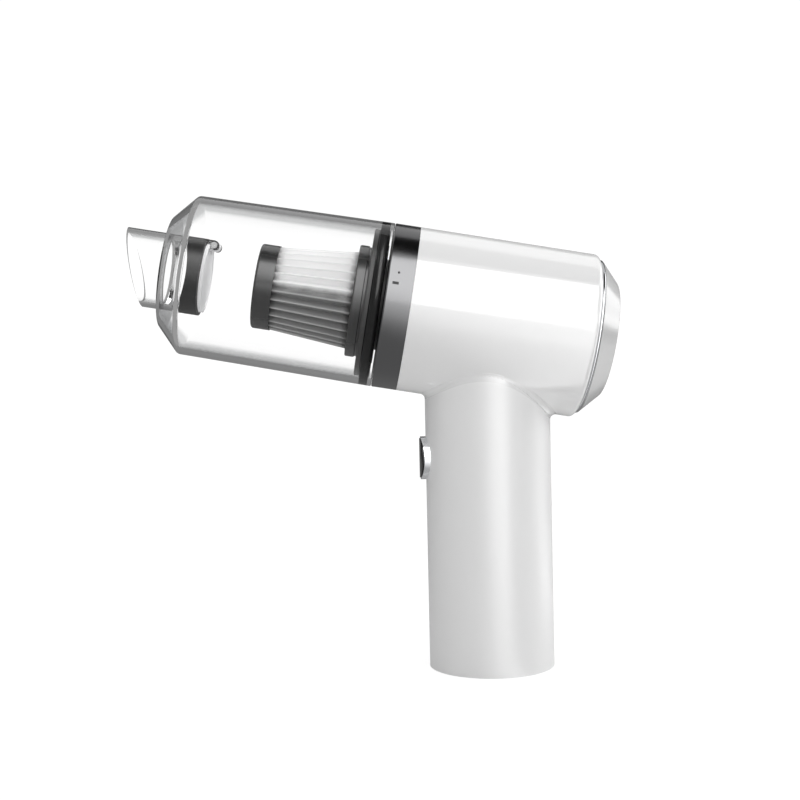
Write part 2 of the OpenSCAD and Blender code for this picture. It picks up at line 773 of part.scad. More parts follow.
// Metal shell and tongue of the charging socket
module usb_socket() {
  color("silver") translate([usb_face - usb_len, 0, light_z]) rotate([90, 0, 90]) difference() {
    linear_extrude(usb_len) slot_2d(usb_w, usb_h);
    translate([0, 0, 1]) linear_extrude(usb_len) difference() {
      slot_2d(usb_w - 0.6, usb_h - 0.6);
      square([usb_w - 2.4, 0.7], center = true);
    }
    translate([0, 0, usb_len - 1]) linear_extrude(2) slot_2d(usb_w - 0.6, usb_h - 0.6);
  }
}

// Light pipe of the charging light
module charge_light() {
  color("aliceblue") {
    translate([grip_r - 5.6, light_y, light_z]) rotate([0, 90, 0])
      cylinder(r = light_r, h = sqrt(pow(handle_r, 2) - pow(light_y, 2)) - grip_r + 5.5, $fn = small);
    translate([grip_r - 6.4, light_y - light_r, usb_z]) cube([1.6, 2 * light_r, light_z + light_r - usb_z]);
  }
}

// Two round battery cells side by side
module battery_cells() {
  color("steelblue") for (s = [-1, 1]) translate([0, s * cell_pitch / 2, cell_z])
    cylinder(r = cell_r, h = cell_len, $fn = medium);
}

// Nickel strips on the ends of the cells
module cell_tabs() {
  color("lightgray") {
    translate([-tab_w / 2, -tab_end, cell_z - tab_t]) cube([tab_w, 2 * tab_end, tab_t]);
    for (s = [-1, 1]) translate([-tab_w / 2, s > 0 ? tab_start : -tab_end, cell_top])
      cube([tab_w, tab_end - tab_start, tab_t]);
  }
}

// Holder of the cells' ends: plate at height z with side walls that reach towards the cells
module cell_holder(z, wall_z, wall_h) {
  difference() {
    union() {
      translate([0, 0, z]) cylinder(r = holder_r, h = holder_t, $fn = fine);
      intersection() {
        translate([0, 0, wall_z]) cylinder(r = holder_r, h = wall_h, $fn = fine);
        for (s = [-1, 1]) translate([0, s * cell_pitch / 2, wall_z])
          cylinder(r = cell_r + 1, h = wall_h, $fn = medium);
      }
    }
    for (s = [-1, 1]) translate([0, s * cell_pitch / 2, cell_z - tab_t])
      cylinder(r = cell_r + run, h = cell_len + 2 * tab_t, $fn = medium);
    translate([-grip_r - 1, -3.6, z - 10]) cube([grip_r - 11, 7.2, 20]);
  }
}

// Upper holder of the battery cells, with room for the button
module cell_holder_top() {
  color("dimgray") difference() {
    cell_holder(cell_top + tab_t, cell_top - 4, 4 + tab_t + o);
    at_button() translate([0, 0, cap_back - button_travel - 0.3])
      cylinder(r = bezel_flange_r + 0.3, h = 12, $fn = medium);
  }
}

// Lower holder of the battery cells, with a slot for the strip that joins them
module cell_holder_bottom() {
  color("dimgray") difference() {
    cell_holder(rib_low + rib_t, cell_z - tab_t - o, 4 + tab_t);
    translate([-tab_w / 2 - fit, -tab_end - fit, cell_z - tab_t])
      cube([tab_w + 2 * fit, 2 * (tab_end + fit), tab_t + fit]);
  }
}

// Routes of the two motor leads, from the switch board to the motor's terminals
lead_sides = 8;
lead_r = 0.7;
lead_routes = [for (s = [-1, 1]) [
  [-board_face - 0.72, 1.8 * s, board_high - 2],
  [-board_face - 0.72, 1.8 * s, rib_high + 6],
  [-8, 2.4 * s, rib_high + 12],
  [10, 3.4 * s, rib_high + 12],
  [22, 5 * s, rib_high + 17],
  [-barrel_reach + (a_bell + bell_t + 1) * cos(nose_up) - 6.9 * sin(nose_up), 5 * s,
   barrel_z - (a_bell + bell_t + 1) * sin(nose_up) - 6.9 * cos(nose_up)]
]];

// Ring of a lead's skin, square to the bend at point i of its route
function lead_ring(route, i) =
  let (
    before = unit(route[max(i, 1)] - route[max(i, 1) - 1]),
    after = unit(route[min(i, len(route) - 2) + 1] - route[min(i, len(route) - 2)]),
    along = unit(before + after),
    side = unit(cross(along, [0, 1, 0])),
    up = cross(along, side)
  )
  [for (k = [0:lead_sides - 1])
    route[i] + lead_r * (side * cos(360 * k / lead_sides) + up * sin(360 * k / lead_sides))];

// Tube swept along a route
module lead(route) {
  n = len(route);
  points = [for (i = [0:n - 1]) each lead_ring(route, i)];
  walls = [for (i = [0:n - 2], k = [0:lead_sides - 1])
    [i * lead_sides + k, i * lead_sides + (k + 1) % lead_sides, (i + 1) * lead_sides + (k + 1) % lead_sides,
     (i + 1) * lead_sides + k]];
  ends = [[for (k = [lead_sides - 1:-1:0]) k], [for (k = [0:lead_sides - 1]) (n - 1) * lead_sides + k]];
  polyhedron(points, concat(walls, ends), convexity = 4);
}

// Two insulated leads from the switch board to the motor
module motor_leads() {
  color("firebrick") for (route = lead_routes) lead(route);
}

// Steel shaft of the motor
module motor_shaft() {
  color("silver") in_barrel() cylinder_at(shaft_r, a_blade + 0.6, a_bell + bell_t + 1.9, small);
}

// Laminated core with its winding poles
module armature_core() {
  color("slategray") in_barrel() translate([0, 0, a_core]) linear_extrude(core_len) difference() {
    union() {
      circle(r = 3.4, $fn = small);
      for (t = [0:120:240]) rotate(t) {
        translate([0, -1.6]) square([rotor_r - 1, 3.2]);
        intersection() {
          difference() {
            circle(r = rotor_r, $fn = medium);
            circle(r = rotor_r - 1.5, $fn = medium);
          }
          polygon([[0, 0], [2 * rotor_r, -2 * rotor_r * tan(50)], [2 * rotor_r, 2 * rotor_r * tan(50)]]);
        }
      }
    }
    circle(r = shaft_r + 0.02, $fn = small);
  }
}

// Copper coils round the poles
module armature_windings() {
  color("chocolate") in_barrel() for (t = [0:120:240]) rotate([0, 0, t]) difference() {
    intersection() {
      translate([3.6, -3.9, a_core - 1.8]) cube([rotor_r - 5, 7.8, core_len + 3.6]);
      cylinder_at(rotor_r - 1.6, a_core - 2, a_core + core_len + 2);
    }
    translate([0, -1.65, a_core - 0.04]) cube([rotor_r, 3.3, core_len + 0.08]);
  }
}

// Commutator on the shaft
module commutator() {
  color("peru") in_barrel() difference() {
    tube(comm_r, shaft_r + 0.02, a_comm, a_comm + comm_len, small);
    for (t = [60:120:300]) rotate([0, 0, t])
      translate([comm_r - 0.7, -0.2, a_comm - 1]) cube([2, 0.4, comm_len + 2]);
  }
}

// Half the thickness of a blade
blade_half = 0.55;
blade_root = 7.5;

// Point on one side of a blade, at share s of its length
function blade_point(s, side) =
  let (
    r = blade_root + (impeller_r - 0.3 - blade_root) * s,
    t = -blade_sweep * s + side * blade_half / r * 180 / PI
  )
  r * [cos(t), sin(t)];

// Centrifugal fan wheel with blades swept backwards
module impeller() {
  steps = 8;
  outline = concat(
    [for (i = [0:steps]) blade_point(i / steps, -1)],
    [for (i = [steps:-1:0]) blade_point(i / steps, 1)]
  );
  color("lightslategray") in_barrel() difference() {
    union() {
      revolve([[0, a_blade], [2.6, a_blade, 0.8], [3.4, a_disc - 1.5], [7, a_disc], [impeller_r, a_disc],
        [impeller_r, a_disc + disc_t], [0, a_disc + disc_t]]);
      for (i = [0:blades - 1]) rotate([0, 0, 360 * i / blades])
        translate([0, 0, a_blade + 0.3]) linear_extrude(blade_h) polygon(outline);
    }
    cylinder_at(shaft_r + 0.02, a_blade - 1, a_disc + disc_t + 1, small);
  }
}

// Disc and neck that carry the filter and the gasket, and lock into the collar
module filter_carrier() {
  color("#2c2c2e") in_barrel() difference() {
    union() {
      revolve([
        [air_r, a_neck], [neck_r, a_neck, 0.4], [neck_r, a_gasket_rear], [hub_r, a_gasket_rear],
        [hub_r, a_gasket], [flange_r, a_gasket], [flange_r, a_flange, 0.5], [socket_r, a_flange],
        [socket_r, a_flange + groove_start], [groove_r, a_flange + groove_start],
        [groove_r, a_flange + groove_start + groove_len], [socket_r, a_flange + groove_start + groove_len],
        [socket_r, a_flange + socket_depth], [air_r, a_flange + socket_depth]
      ]);
      for (t = [90, 270]) sector(lug_r, neck_r - 0.5, a_lug, a_lug + lug_len, t, lug_angle);
    }
    for (t = [0, 180])
      sector(groove_r, socket_r - 1, a_flange - 1, a_flange + groove_start + o, t + filter_turn,
        filter_lug_angle + 4);
  }
}

// Rubber gasket between the carrier and the cup
module cup_gasket() {
  color("#111111") in_barrel() revolve([
    [hub_r + 0.04, a_gasket], [gasket_r, a_gasket, 0.3], [gasket_r, a_gasket + gasket_w * 0.4],
    [gasket_r - 0.4, a_gasket + gasket_w * 0.45], [gasket_r - 0.4, a_gasket + gasket_w * 0.55],
    [gasket_r, a_gasket + gasket_w * 0.6], [gasket_r, a_gasket_rear, 0.3], [hub_r + 0.04, a_gasket_rear]
  ]);
}

// Closed end cap of the filter
module filter_cap() {
  color("#4c4c4e") in_barrel() revolve([
    [0, a_cap], [media_front_r, a_cap, 0.8], [media_front_r, a_media], [core_front_r - core_t, a_media],
    [core_front_r - core_t, a_cap + 1.8], [0, a_cap + 1.8]
  ]);
}

// Outline of the folded paper's outer or inner side, with its crests at radius crest
function zigzag(crest) =
  [for (i = [0:2 * pleats - 1])
    (crest - (i % 2) * pleat_depth) * [cos(180 * i / pleats), sin(180 * i / pleats)]];

// Pleated paper of the filter, a cone that widens towards its base
module filter_media() {
  color("gainsboro") in_barrel() translate([0, 0, a_media])
    linear_extrude(media_len, scale = media_base_r / media_front_r) difference() {
      polygon(zigzag(media_front_r - 0.05));
      polygon(zigzag(media_front_r - 0.05 - paper_t));
    }
}

// Cage that holds the paper open from inside
module filter_core() {
  color("dimgray") in_barrel() difference() {
    translate([0, 0, a_media]) cylinder(r1 = core_front_r, r2 = core_base_r, h = media_len, $fn = medium);
    translate([0, 0, a_media - o])
      cylinder(r1 = core_front_r - core_t, r2 = core_base_r - core_t, h = media_len + 2 * o, $fn = medium);
    for (t = [0:60:300], row = [0:2]) rotate([0, 0, t])
      translate([3, -2.6, a_media + 2 + row * (media_len - 2) / 3]) cube([12, 5.2, (media_len - 2) / 3 - 2]);
  }
}

// Base ring of the filter, with the neck and lugs that lock into the carrier
module filter_frame() {
  color("#3c3c3e") in_barrel() {
    revolve([
      [core_base_r - core_t - 0.4, a_frame], [frame_r, a_frame, 0.5], [frame_r, a_flange - 1],
      [frame_r - 0.4, a_flange - 0.8], [frame_r - 0.4, a_flange], [socket_r - run, a_flange],
      [socket_r - run, a_flange + socket_depth - 0.3],
      [core_base_r - core_t - 0.4, a_flange + socket_depth - 0.3]
    ]);
    for (t = [0, 180])
      sector(socket_r + filter_lug_h, socket_r - 1, a_flange + groove_start + run,
        a_flange + groove_start + groove_len - run, t, filter_lug_angle);
  }
}

// Radius of the nose's inner face at station a
function nose_inner(a) =
  let (rise = cup_shoulder_r - face_d / 2)
  cup_shoulder_r + (a - a_shoulder) * rise / nose_len - cup_wall * norm([rise, nose_len]) / nose_len;

// Clear dust cup with its bevelled nose and the slanted inlet tube
module dust_cup() {
  rise = cup_shoulder_r - face_d / 2;
  a_inner = a_shoulder + cup_wall * (norm([rise, nose_len]) - nose_len) / rise;
  color("aliceblue", 0.35) in_barrel() {
    revolve([
      [cup_rear_r, a_cup, 0.4], [cup_shoulder_r, a_shoulder, shoulder_round], [face_d / 2, a_face, 0.8],
      [inlet_bore_r, a_face], [inlet_bore_r, a_face + cup_wall],
      [nose_inner(a_face + cup_wall), a_face + cup_wall],
      [cup_shoulder_r - cup_wall, a_inner, 1], [cup_bore_r, a_cup]
    ]);
    difference() {
      tube(inlet_r, inlet_bore_r, a_tip, a_sleeve);
      translate([-inlet_r, 0, a_tip]) rotate([0, -inlet_slant, 0])
        translate([-2 * inlet_d, -inlet_d, -inlet_d]) cube([4 * inlet_d, 2 * inlet_d, inlet_d]);
    }
    tube(stub_r, inlet_bore_r, a_sleeve - o, a_stub);
  }
}

// Side view of a hook that curls round the hinge pin
module hook_2d() {
  translate([pin_x, a_pin]) difference() {
    circle(r = hook_r, $fn = small);
    circle(r = eye_r, $fn = small);
    translate([-eye_r, -5]) square([10, 5]);
  }
  translate([pin_x - hook_r, a_sleeve_rear - 0.8]) square([hook_t, a_pin - a_sleeve_rear + 0.8]);
}

// Dark sleeve on the inlet's inner end, with the hooks of the flap's hinge
module inlet_sleeve() {
  color("#3a3a3c") in_barrel() difference() {
    union() {
      tube(sleeve_r, stub_r + 0.04, a_sleeve, a_stub);
      tube(sleeve_r, inlet_bore_r, a_stub, a_sleeve_rear);
      for (y = [-hook_y, hook_y + hook_w]) translate([0, y, 0])
        rotate([90, 0, 0]) linear_extrude(hook_w) hook_2d();
    }
    translate([0, 0, a_sleeve + sleeve_hollow - hollow_r]) rotate([90, 0, 0])
      cylinder(r = hollow_r, h = 4 * sleeve_r, center = true, $fn = fine);
  }
}

// Hinge pin of the flap
module flap_pin() {
  color("gainsboro") in_barrel() translate([pin_x, -hook_y - hook_w - 0.2, a_pin]) rotate([-90, 0, 0])
    cylinder(r = pin_r, h = 2 * (hook_y + hook_w + 0.2), $fn = small);
}

// Flap that lets dust in and keeps it in the cup
module flap_valve() {
  color("whitesmoke") in_barrel() difference() {
    union() {
      cylinder_at(flap_r, a_flap, a_flap + flap_t, fine);
      tube(flap_r, flap_r - 0.7, a_flap, a_flap + flap_t + 0.3);
      translate([pin_x, -knuckle_w / 2, a_pin]) rotate([-90, 0, 0])
        cylinder(r = hook_r, h = knuckle_w, $fn = small);
      translate([pin_x - 0.8, -knuckle_w / 2, a_flap]) cube([2.4, knuckle_w, pin_back - flap_seat]);
    }
    translate([pin_x, -knuckle_w, a_pin]) rotate([-90, 0, 0])
      cylinder(r = eye_r, h = 2 * knuckle_w, $fn = small);
  }
}

left_shell();
right_shell();
collar();
intake_grille();
fan_cover();
motor_bracket();
motor_screws();
motor_can();
motor_end_bell();
motor_magnets();
motor_bushes();
motor_brushes();
motor_damper();
trim_ring();
rear_cap();
exhaust_grille();
foot_cap();
button_bezel();
tact_switch();
switch_board();
charge_board();
board_screws();
usb_socket();
charge_light();
battery_cells();
cell_tabs();
cell_holder_top();
cell_holder_bottom();
motor_leads();
motor_shaft();
armature_core();
armature_windings();
commutator();
impeller();
button_cap();
switch_plunger();
filter_carrier();
cup_gasket();
filter_cap();
filter_media();
filter_core();
filter_frame();
dust_cup();
inlet_sleeve();
flap_pin();
flap_valve();
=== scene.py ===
"""A cordless mini vacuum cleaner, standing on the end of its handle on a pale studio floor."""
import math

import bpy
from mathutils import Matrix, Vector


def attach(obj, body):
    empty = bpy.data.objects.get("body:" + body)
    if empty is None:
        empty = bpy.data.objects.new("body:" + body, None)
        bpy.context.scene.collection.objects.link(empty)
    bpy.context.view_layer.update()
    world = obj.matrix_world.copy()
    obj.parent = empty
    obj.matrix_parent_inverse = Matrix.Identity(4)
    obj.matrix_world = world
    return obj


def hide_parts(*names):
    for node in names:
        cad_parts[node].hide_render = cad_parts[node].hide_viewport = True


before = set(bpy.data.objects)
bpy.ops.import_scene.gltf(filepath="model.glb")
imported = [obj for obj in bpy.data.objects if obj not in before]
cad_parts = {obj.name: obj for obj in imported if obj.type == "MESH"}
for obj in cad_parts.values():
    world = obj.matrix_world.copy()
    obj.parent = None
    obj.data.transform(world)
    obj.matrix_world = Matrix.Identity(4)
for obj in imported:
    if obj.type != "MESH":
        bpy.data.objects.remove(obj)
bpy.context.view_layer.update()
mm = 0.001


# Camera
# The photograph looks straight at the left side, from a little above the handle's middle, with a moderate
# lens. It is turned slightly, so that the foot leans to the right.
camera_place = Vector((-39.5, -426.0, 102.9)) * mm
camera_target = Vector((-29.6, 0.0, 90.8)) * mm
camera_roll = math.radians(1.215)
lens_mm = 56.5

forward = (camera_target - camera_place).normalized()
level_right = forward.cross(Vector((0, 0, 1))).normalized()
level_up = level_right.cross(forward)
right = level_right * math.cos(camera_roll) - level_up * math.sin(camera_roll)
up = level_up * math.cos(camera_roll) + level_right * math.sin(camera_roll)
camera_data = bpy.data.cameras.new("camera")
camera_data.lens = lens_mm
camera_data.clip_start = 0.01
camera = bpy.data.objects.new("camera", camera_data)
bpy.context.scene.collection.objects.link(camera)
camera_turn = Matrix((right, up, -forward)).transposed().to_4x4()
camera.matrix_world = Matrix.Translation(camera_place) @ camera_turn
bpy.context.scene.camera = camera
bpy.context.scene.view_settings.view_transform = "Standard"


# Studio
# A white table that runs back into a white wall. Polished faces mirror a large soft box in front and a
# smaller one behind to the right. Dimmer lamps right, over, left and behind only light the object. Black
# cards over, behind and to the left, out of the picture, give polished faces their dark edges.
def linear(code):
    """Linear colour, with alpha, of an sRGB hex value."""
    channels = [int(code[i:i + 2], 16) / 255 for i in (1, 3, 5)]
    return [c / 12.92 if c <= 0.04045 else ((c + 0.055) / 1.055) ** 2.4 for c in channels] + [1]


def add_node(tree, kind, settings=None, links=None):
    """Adds a node, sets its options and inputs, and links inputs to (node, output) pairs."""
    new = tree.nodes.new(kind)
    for name, value in (settings or {}).items():
        if isinstance(name, str) and hasattr(new, name):
            setattr(new, name, value)
        else:
            new.inputs[name].default_value = value
    for name, (source, output) in (links or {}).items():
        tree.links.new(source.outputs[output], new.inputs[name])
    return new


def new_tree(owner):
    """Empties the nodes of a material or world and gives its tree."""
    owner.use_nodes = True
    owner.node_tree.nodes.clear()
    return owner.node_tree


def ray_kinds(tree):
    """Light Path, then 1 for rays that show the plain background: the camera's and those through the cup."""
    rays = add_node(tree, "ShaderNodeLightPath")
    return rays, add_node(tree, "ShaderNodeMath", {"operation": "MAXIMUM"},
                          {0: (rays, "Is Camera Ray"), 1: (rays, "Is Transmission Ray")})


def caught_rays(tree, rays):
    """1 for rays that the cup's wall has caught and mirrored inside itself, an odd number of faces deep."""
    odd = add_node(tree, "ShaderNodeMath", {"operation": "MODULO", 1: 2.0},
                   {0: (rays, "Transmission Depth")})
    return add_node(tree, "ShaderNodeMath", {"operation": "MULTIPLY"},
                    {0: (odd, 0), 1: (rays, "Is Glossy Ray")})


def light_pools(tree, split):
    """Strength of the two pools of light on the table and the wall's foot, as wedges out from the object."""
    front = add_node(tree, "ShaderNodeMath", {"operation": "MULTIPLY", 1: -1.0}, {0: (split, "Y")})
    bearing = add_node(tree, "ShaderNodeMath", {"operation": "ARCTAN2"}, {0: (split, "X"), 1: (front, 0)})
    wedges = []
    for level, rise, fall in ((front_pool, *front_wedge), (side_pool, *side_wedge)):
        rising = add_node(tree, "ShaderNodeMapRange",
                          {"interpolation_type": "SMOOTHSTEP", "From Min": math.radians(rise[0]),
                           "From Max": math.radians(rise[1]), "To Max": level}, {"Value": (bearing, 0)})
        falling = add_node(tree, "ShaderNodeMapRange",
                           {"interpolation_type": "SMOOTHSTEP", "From Min": math.radians(fall[0]),
                            "From Max": math.radians(fall[1]), "To Min": 1.0, "To Max": 0.0},
                           {"Value": (bearing, 0)})
        wedges.append(add_node(tree, "ShaderNodeMath", {"operation": "MULTIPLY"},
                               {0: (rising, "Result"), 1: (falling, "Result")}))
    return wedges


# Radiances, where 1 is white. Each wedge is the span in degrees over which its pool rises, then falls.
fill_level = 0.46
mirror_level = 0.75
table_level = 0.42
behind_level = 0.22
caught_level = 0.31
plain_level = 1.05
front_pool = 2.85
front_wedge = ((-21, 20), (24, 37))
side_pool = 1.1
side_wedge = ((86, 98), (124, 136))

# Parts of a unit direction: the height at which the table's tone has gone over to the wall's, the heights
# over which the pools fade and the dark back wall ends, and the span rearward over which that wall starts.
table_tone_end = 0.25
pool_fade = (0.09, 0.13)
dark_wall_end = (0.4, 0.5)
dark_wall_back = (0.3, 0.6)

world = bpy.data.worlds.new("studio")
bpy.context.scene.world = world
tree = new_tree(world)
rays, seen = ray_kinds(tree)
caught = caught_rays(tree, rays)
way = add_node(tree, "ShaderNodeTexCoord")
split = add_node(tree, "ShaderNodeSeparateXYZ", links={"Vector": (way, "Generated")})
up_wall = add_node(tree, "ShaderNodeMapRange",
                   {"From Min": 0.0, "From Max": table_tone_end, "To Min": table_level,
                    "To Max": mirror_level}, {"Value": (split, "Z")})
low = add_node(tree, "ShaderNodeMapRange",
               {"From Min": pool_fade[0], "From Max": pool_fade[1], "To Min": 1.0, "To Max": 0.0},
               {"Value": (split, "Z")})
wedges = light_pools(tree, split)
pools = add_node(tree, "ShaderNodeMath", {"operation": "ADD"}, {0: (wedges[0], 0), 1: (wedges[1], 0)})
lit_front = add_node(tree, "ShaderNodeMath", {"operation": "MULTIPLY_ADD"},
                     {0: (pools, 0), 1: (low, "Result"), 2: (up_wall, "Result")})
backward = add_node(tree, "ShaderNodeMapRange",
                    {"From Min": dark_wall_back[0], "From Max": dark_wall_back[1]}, {"Value": (split, "Y")})
below_card = add_node(tree, "ShaderNodeMapRange",
                      {"From Min": dark_wall_end[0], "From Max": dark_wall_end[1], "To Min": 1.0,
                       "To Max": 0.0}, {"Value": (split, "Z")})
behind = add_node(tree, "ShaderNodeMath", {"operation": "MULTIPLY"},
                  {0: (backward, "Result"), 1: (below_card, "Result")})
mirror = add_node(tree, "ShaderNodeMix", {"data_type": "FLOAT", 3: behind_level},
                  {0: (behind, 0), 2: (lit_front, 0)})
mirror_or_caught = add_node(tree, "ShaderNodeMix", {"data_type": "FLOAT", 3: caught_level},
                            {0: (caught, 0), 2: (mirror, 0)})
fill = add_node(tree, "ShaderNodeBackground", {"Color": linear("#F7F7F7"), "Strength": fill_level})
mirrored = add_node(tree, "ShaderNodeBackground", {"Color": (1, 1, 1, 1)},
                    {"Strength": (mirror_or_caught, 0)})
plain = add_node(tree, "ShaderNodeBackground", {"Color": (1, 1, 1, 1), "Strength": plain_level})
shine = add_node(tree, "ShaderNodeMixShader",
                 links={0: (rays, "Is Glossy Ray"), 1: (fill, 0), 2: (mirrored, 0)})
sky = add_node(tree, "ShaderNodeMixShader", links={0: (seen, 0), 1: (shine, 0), 2: (plain, 0)})
add_node(tree, "ShaderNodeOutputWorld", links={"Surface": (sky, 0)})

# The table's matt paint. The camera sees it near white by the object, where it keeps the shadow, and plain
# white further off. Polished faces see pools of light painted on it as glow, and a dimmer glow behind the
# object as painted shade.
floor_size = 6.0
floor_grey = "#DADADA"
near_glow = 0.9
shadow_share = 0.22
glow_reach = (0.12, 0.7)
front_pool_reach = (0.05, 0.42)
front_pool_start = 0.45
side_pool_reach = (0.09, 0.16)
painted_shade_table_back = (0.05, 0.2)

half = floor_size / 2
floor_corners = [(-half, -half, 0), (half, -half, 0), (half, half, 0), (-half, half, 0)]
floor_mesh = bpy.data.meshes.new("floor")
floor_mesh.from_pydata(floor_corners, [], [(0, 1, 2, 3)])
floor = bpy.data.objects.new("floor", floor_mesh)
bpy.context.scene.collection.objects.link(floor)
floor_paint = bpy.data.materials.new("floor_paint")
tree = new_tree(floor_paint)
rays, seen = ray_kinds(tree)
caught = caught_rays(tree, rays)
matt = add_node(tree, "ShaderNodeBsdfDiffuse", {"Color": linear(floor_grey)})
place = add_node(tree, "ShaderNodeTexCoord")
near = add_node(tree, "ShaderNodeEmission",
                {"Color": (1, 1, 1, 1), "Strength": near_glow / (1 - shadow_share)})
by_object = add_node(tree, "ShaderNodeMixShader", {0: shadow_share}, {1: (near, 0), 2: (matt, 0)})
far = add_node(tree, "ShaderNodeEmission", {"Color": (1, 1, 1, 1), "Strength": plain_level})
reach = add_node(tree, "ShaderNodeVectorMath", {"operation": "LENGTH"}, {0: (place, "Object")})
distant = add_node(tree, "ShaderNodeMapRange", {"From Min": glow_reach[0], "From Max": glow_reach[1]},
                   {"Value": (reach, "Value")})
shown = add_node(tree, "ShaderNodeMixShader",
                 links={0: (distant, "Result"), 1: (by_object, 0), 2: (far, 0)})
split = add_node(tree, "ShaderNodeSeparateXYZ", links={"Vector": (place, "Object")})
wedges = light_pools(tree, split)
front_reach = add_node(tree, "ShaderNodeMapRange",
                       {"From Min": front_pool_reach[0], "From Max": front_pool_reach[1],
                        "To Min": front_pool_start}, {"Value": (reach, "Value")})
side_reach = add_node(tree, "ShaderNodeMapRange",
                      {"From Min": side_pool_reach[0], "From Max": side_pool_reach[1]},
                      {"Value": (reach, "Value")})
side_light = add_node(tree, "ShaderNodeMath", {"operation": "MULTIPLY"},
                      {0: (wedges[1], 0), 1: (side_reach, "Result")})
# Painted light: the pools glow on the table for polished faces, and the table behind glows dimmer as painted
# shade.
pools = add_node(tree, "ShaderNodeMath", {"operation": "MULTIPLY_ADD"},
                 {0: (wedges[0], 0), 1: (front_reach, "Result"), 2: (side_light, 0)})
table_light = add_node(tree, "ShaderNodeMath", {"operation": "ADD", 1: table_level}, {0: (pools, 0)})
pooled = add_node(tree, "ShaderNodeEmission", {"Color": (1, 1, 1, 1)}, {"Strength": (table_light, 0)})
behind_light = add_node(tree, "ShaderNodeEmission", {"Color": (1, 1, 1, 1), "Strength": behind_level})
behind = add_node(tree, "ShaderNodeMapRange",
                  {"From Min": painted_shade_table_back[0], "From Max": painted_shade_table_back[1]}, {"Value": (split, "Y")})
table = add_node(tree, "ShaderNodeMixShader",
                 links={0: (behind, "Result"), 1: (pooled, 0), 2: (behind_light, 0)})
mirror = add_node(tree, "ShaderNodeMixShader",
                  links={0: (rays, "Is Glossy Ray"), 1: (matt, 0), 2: (table, 0)})
caught_light = add_node(tree, "ShaderNodeEmission", {"Color": (1, 1, 1, 1), "Strength": caught_level})
bright = add_node(tree, "ShaderNodeMixShader", links={0: (caught, 0), 1: (mirror, 0), 2: (caught_light, 0)})
paint = add_node(tree, "ShaderNodeMixShader", links={0: (seen, 0), 1: (bright, 0), 2: (shown, 0)})
add_node(tree, "ShaderNodeOutputMaterial", links={"Surface": (paint, 0)})
floor_mesh.materials.append(floor_paint)

barrel_middle = Vector((0, 0, 0.12))
mirrored_distance = 0.97


def out_to(azimuth, elevation, distance=1.0):
    """Place seen from the barrel; azimuth 0 is towards the camera and 90 degrees is to the right."""
    azimuth = math.radians(azimuth)
    elevation = math.radians(elevation)
    return barrel_middle + distance * Vector((math.cos(elevation) * math.sin(azimuth),
                                              -math.cos(elevation) * math.cos(azimuth),
                                              math.sin(elevation)))


def softbox(name, azimuth, elevation, size, lit=0.0, mirrored=0.0):
    """Lamp that faces the barrel, with one radiance to light by and one for mirrors.

    The one for mirrors stands a little nearer, because two lamps at one place hide each other.
    """
    for kind, radiance in (("lit", lit), ("mirrored", mirrored)):
        if radiance == 0:
            continue
        data = bpy.data.lights.new(name + "_" + kind, "AREA")
        data.shape = "RECTANGLE"
        data.size, data.size_y = size
        data.energy = radiance * math.pi * size[0] * size[1]
        lamp = bpy.data.objects.new(name + "_" + kind, data)
        bpy.context.scene.collection.objects.link(lamp)
        lamp.location = out_to(azimuth, elevation, 1.0 if kind == "lit" else mirrored_distance)
        lamp.rotation_euler = (barrel_middle - lamp.location).to_track_quat("-Z", "Y").to_euler()
        lamp.visible_camera = False
        lamp.visible_transmission = False
        lamp.visible_glossy = kind == "mirrored"
        lamp.visible_diffuse = kind == "lit"


def black_card(name, corners):
    """Matt black card between four corners, which only polished faces see."""
    mesh = bpy.data.meshes.new(name)
    mesh.from_pydata(corners, [], [(0, 1, 2, 3)])
    mesh.materials.append(card_paint)
    card = bpy.data.objects.new(name, mesh)
    bpy.context.scene.collection.objects.link(card)
    card.visible_camera = False
    card.visible_diffuse = False
    card.visible_transmission = False
    card.visible_shadow = False


# The cards are clear to the rays that the cup's wall has caught, which would turn the wall's bands black.
card_paint = bpy.data.materials.new("card_paint")
tree = new_tree(card_paint)
caught = caught_rays(tree, add_node(tree, "ShaderNodeLightPath"))
flock = add_node(tree, "ShaderNodeBsdfDiffuse", {"Color": linear("#161616")})
open_air = add_node(tree, "ShaderNodeBsdfTransparent")
card = add_node(tree, "ShaderNodeMixShader", links={0: (caught, 0), 1: (flock, 0), 2: (open_air, 0)})
add_node(tree, "ShaderNodeOutputMaterial", links={"Surface": (card, 0)})

softbox("front_box", 15, 36, (0.68, 1.15), lit=1.15, mirrored=2.75)
softbox("side_box", 112, 22, (0.5, 0.8), lit=3.3, mirrored=2.2)
softbox("right_box", 58, 24, (0.5, 0.5), lit=0.7)
softbox("top_box", 90, 75, (0.8, 0.8), lit=1.9)
softbox("left_box", -75, 25, (0.6, 0.7), lit=0.6)
softbox("back_box", 205, 35, (0.8, 0.8), lit=0.8)
black_card("top_card", [(-0.65, -0.27, 1.12), (0.65, -0.27, 1.12), (0.65, 0.34, 1.12), (-0.65, 0.34, 1.12)])
black_card("back_card", [(-0.9, 0.9, 0.5), (0.9, 0.9, 0.5), (0.9, 0.85, 0.76), (-0.9, 0.85, 0.76)])
black_card("left_card", [(-0.75, 0.25, 0.002), (-0.4, 0.9, 0.002), (-0.4, 0.9, 0.5), (-0.75, 0.25, 0.5)])


# Housing shells
# Two halves of white ABS, moulded and joined by pegs along a fine seam. The barrel's mould is polished, so it
# mirrors the lamps with crisp edges. The grip's is blasted to a satin that spreads them to soft stripes.
def dress(material, *names):
    """Gives a material to CAD nodes."""
    for name in names:
        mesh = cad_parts[name].data
        mesh.materials.clear()
        mesh.materials.append(material)


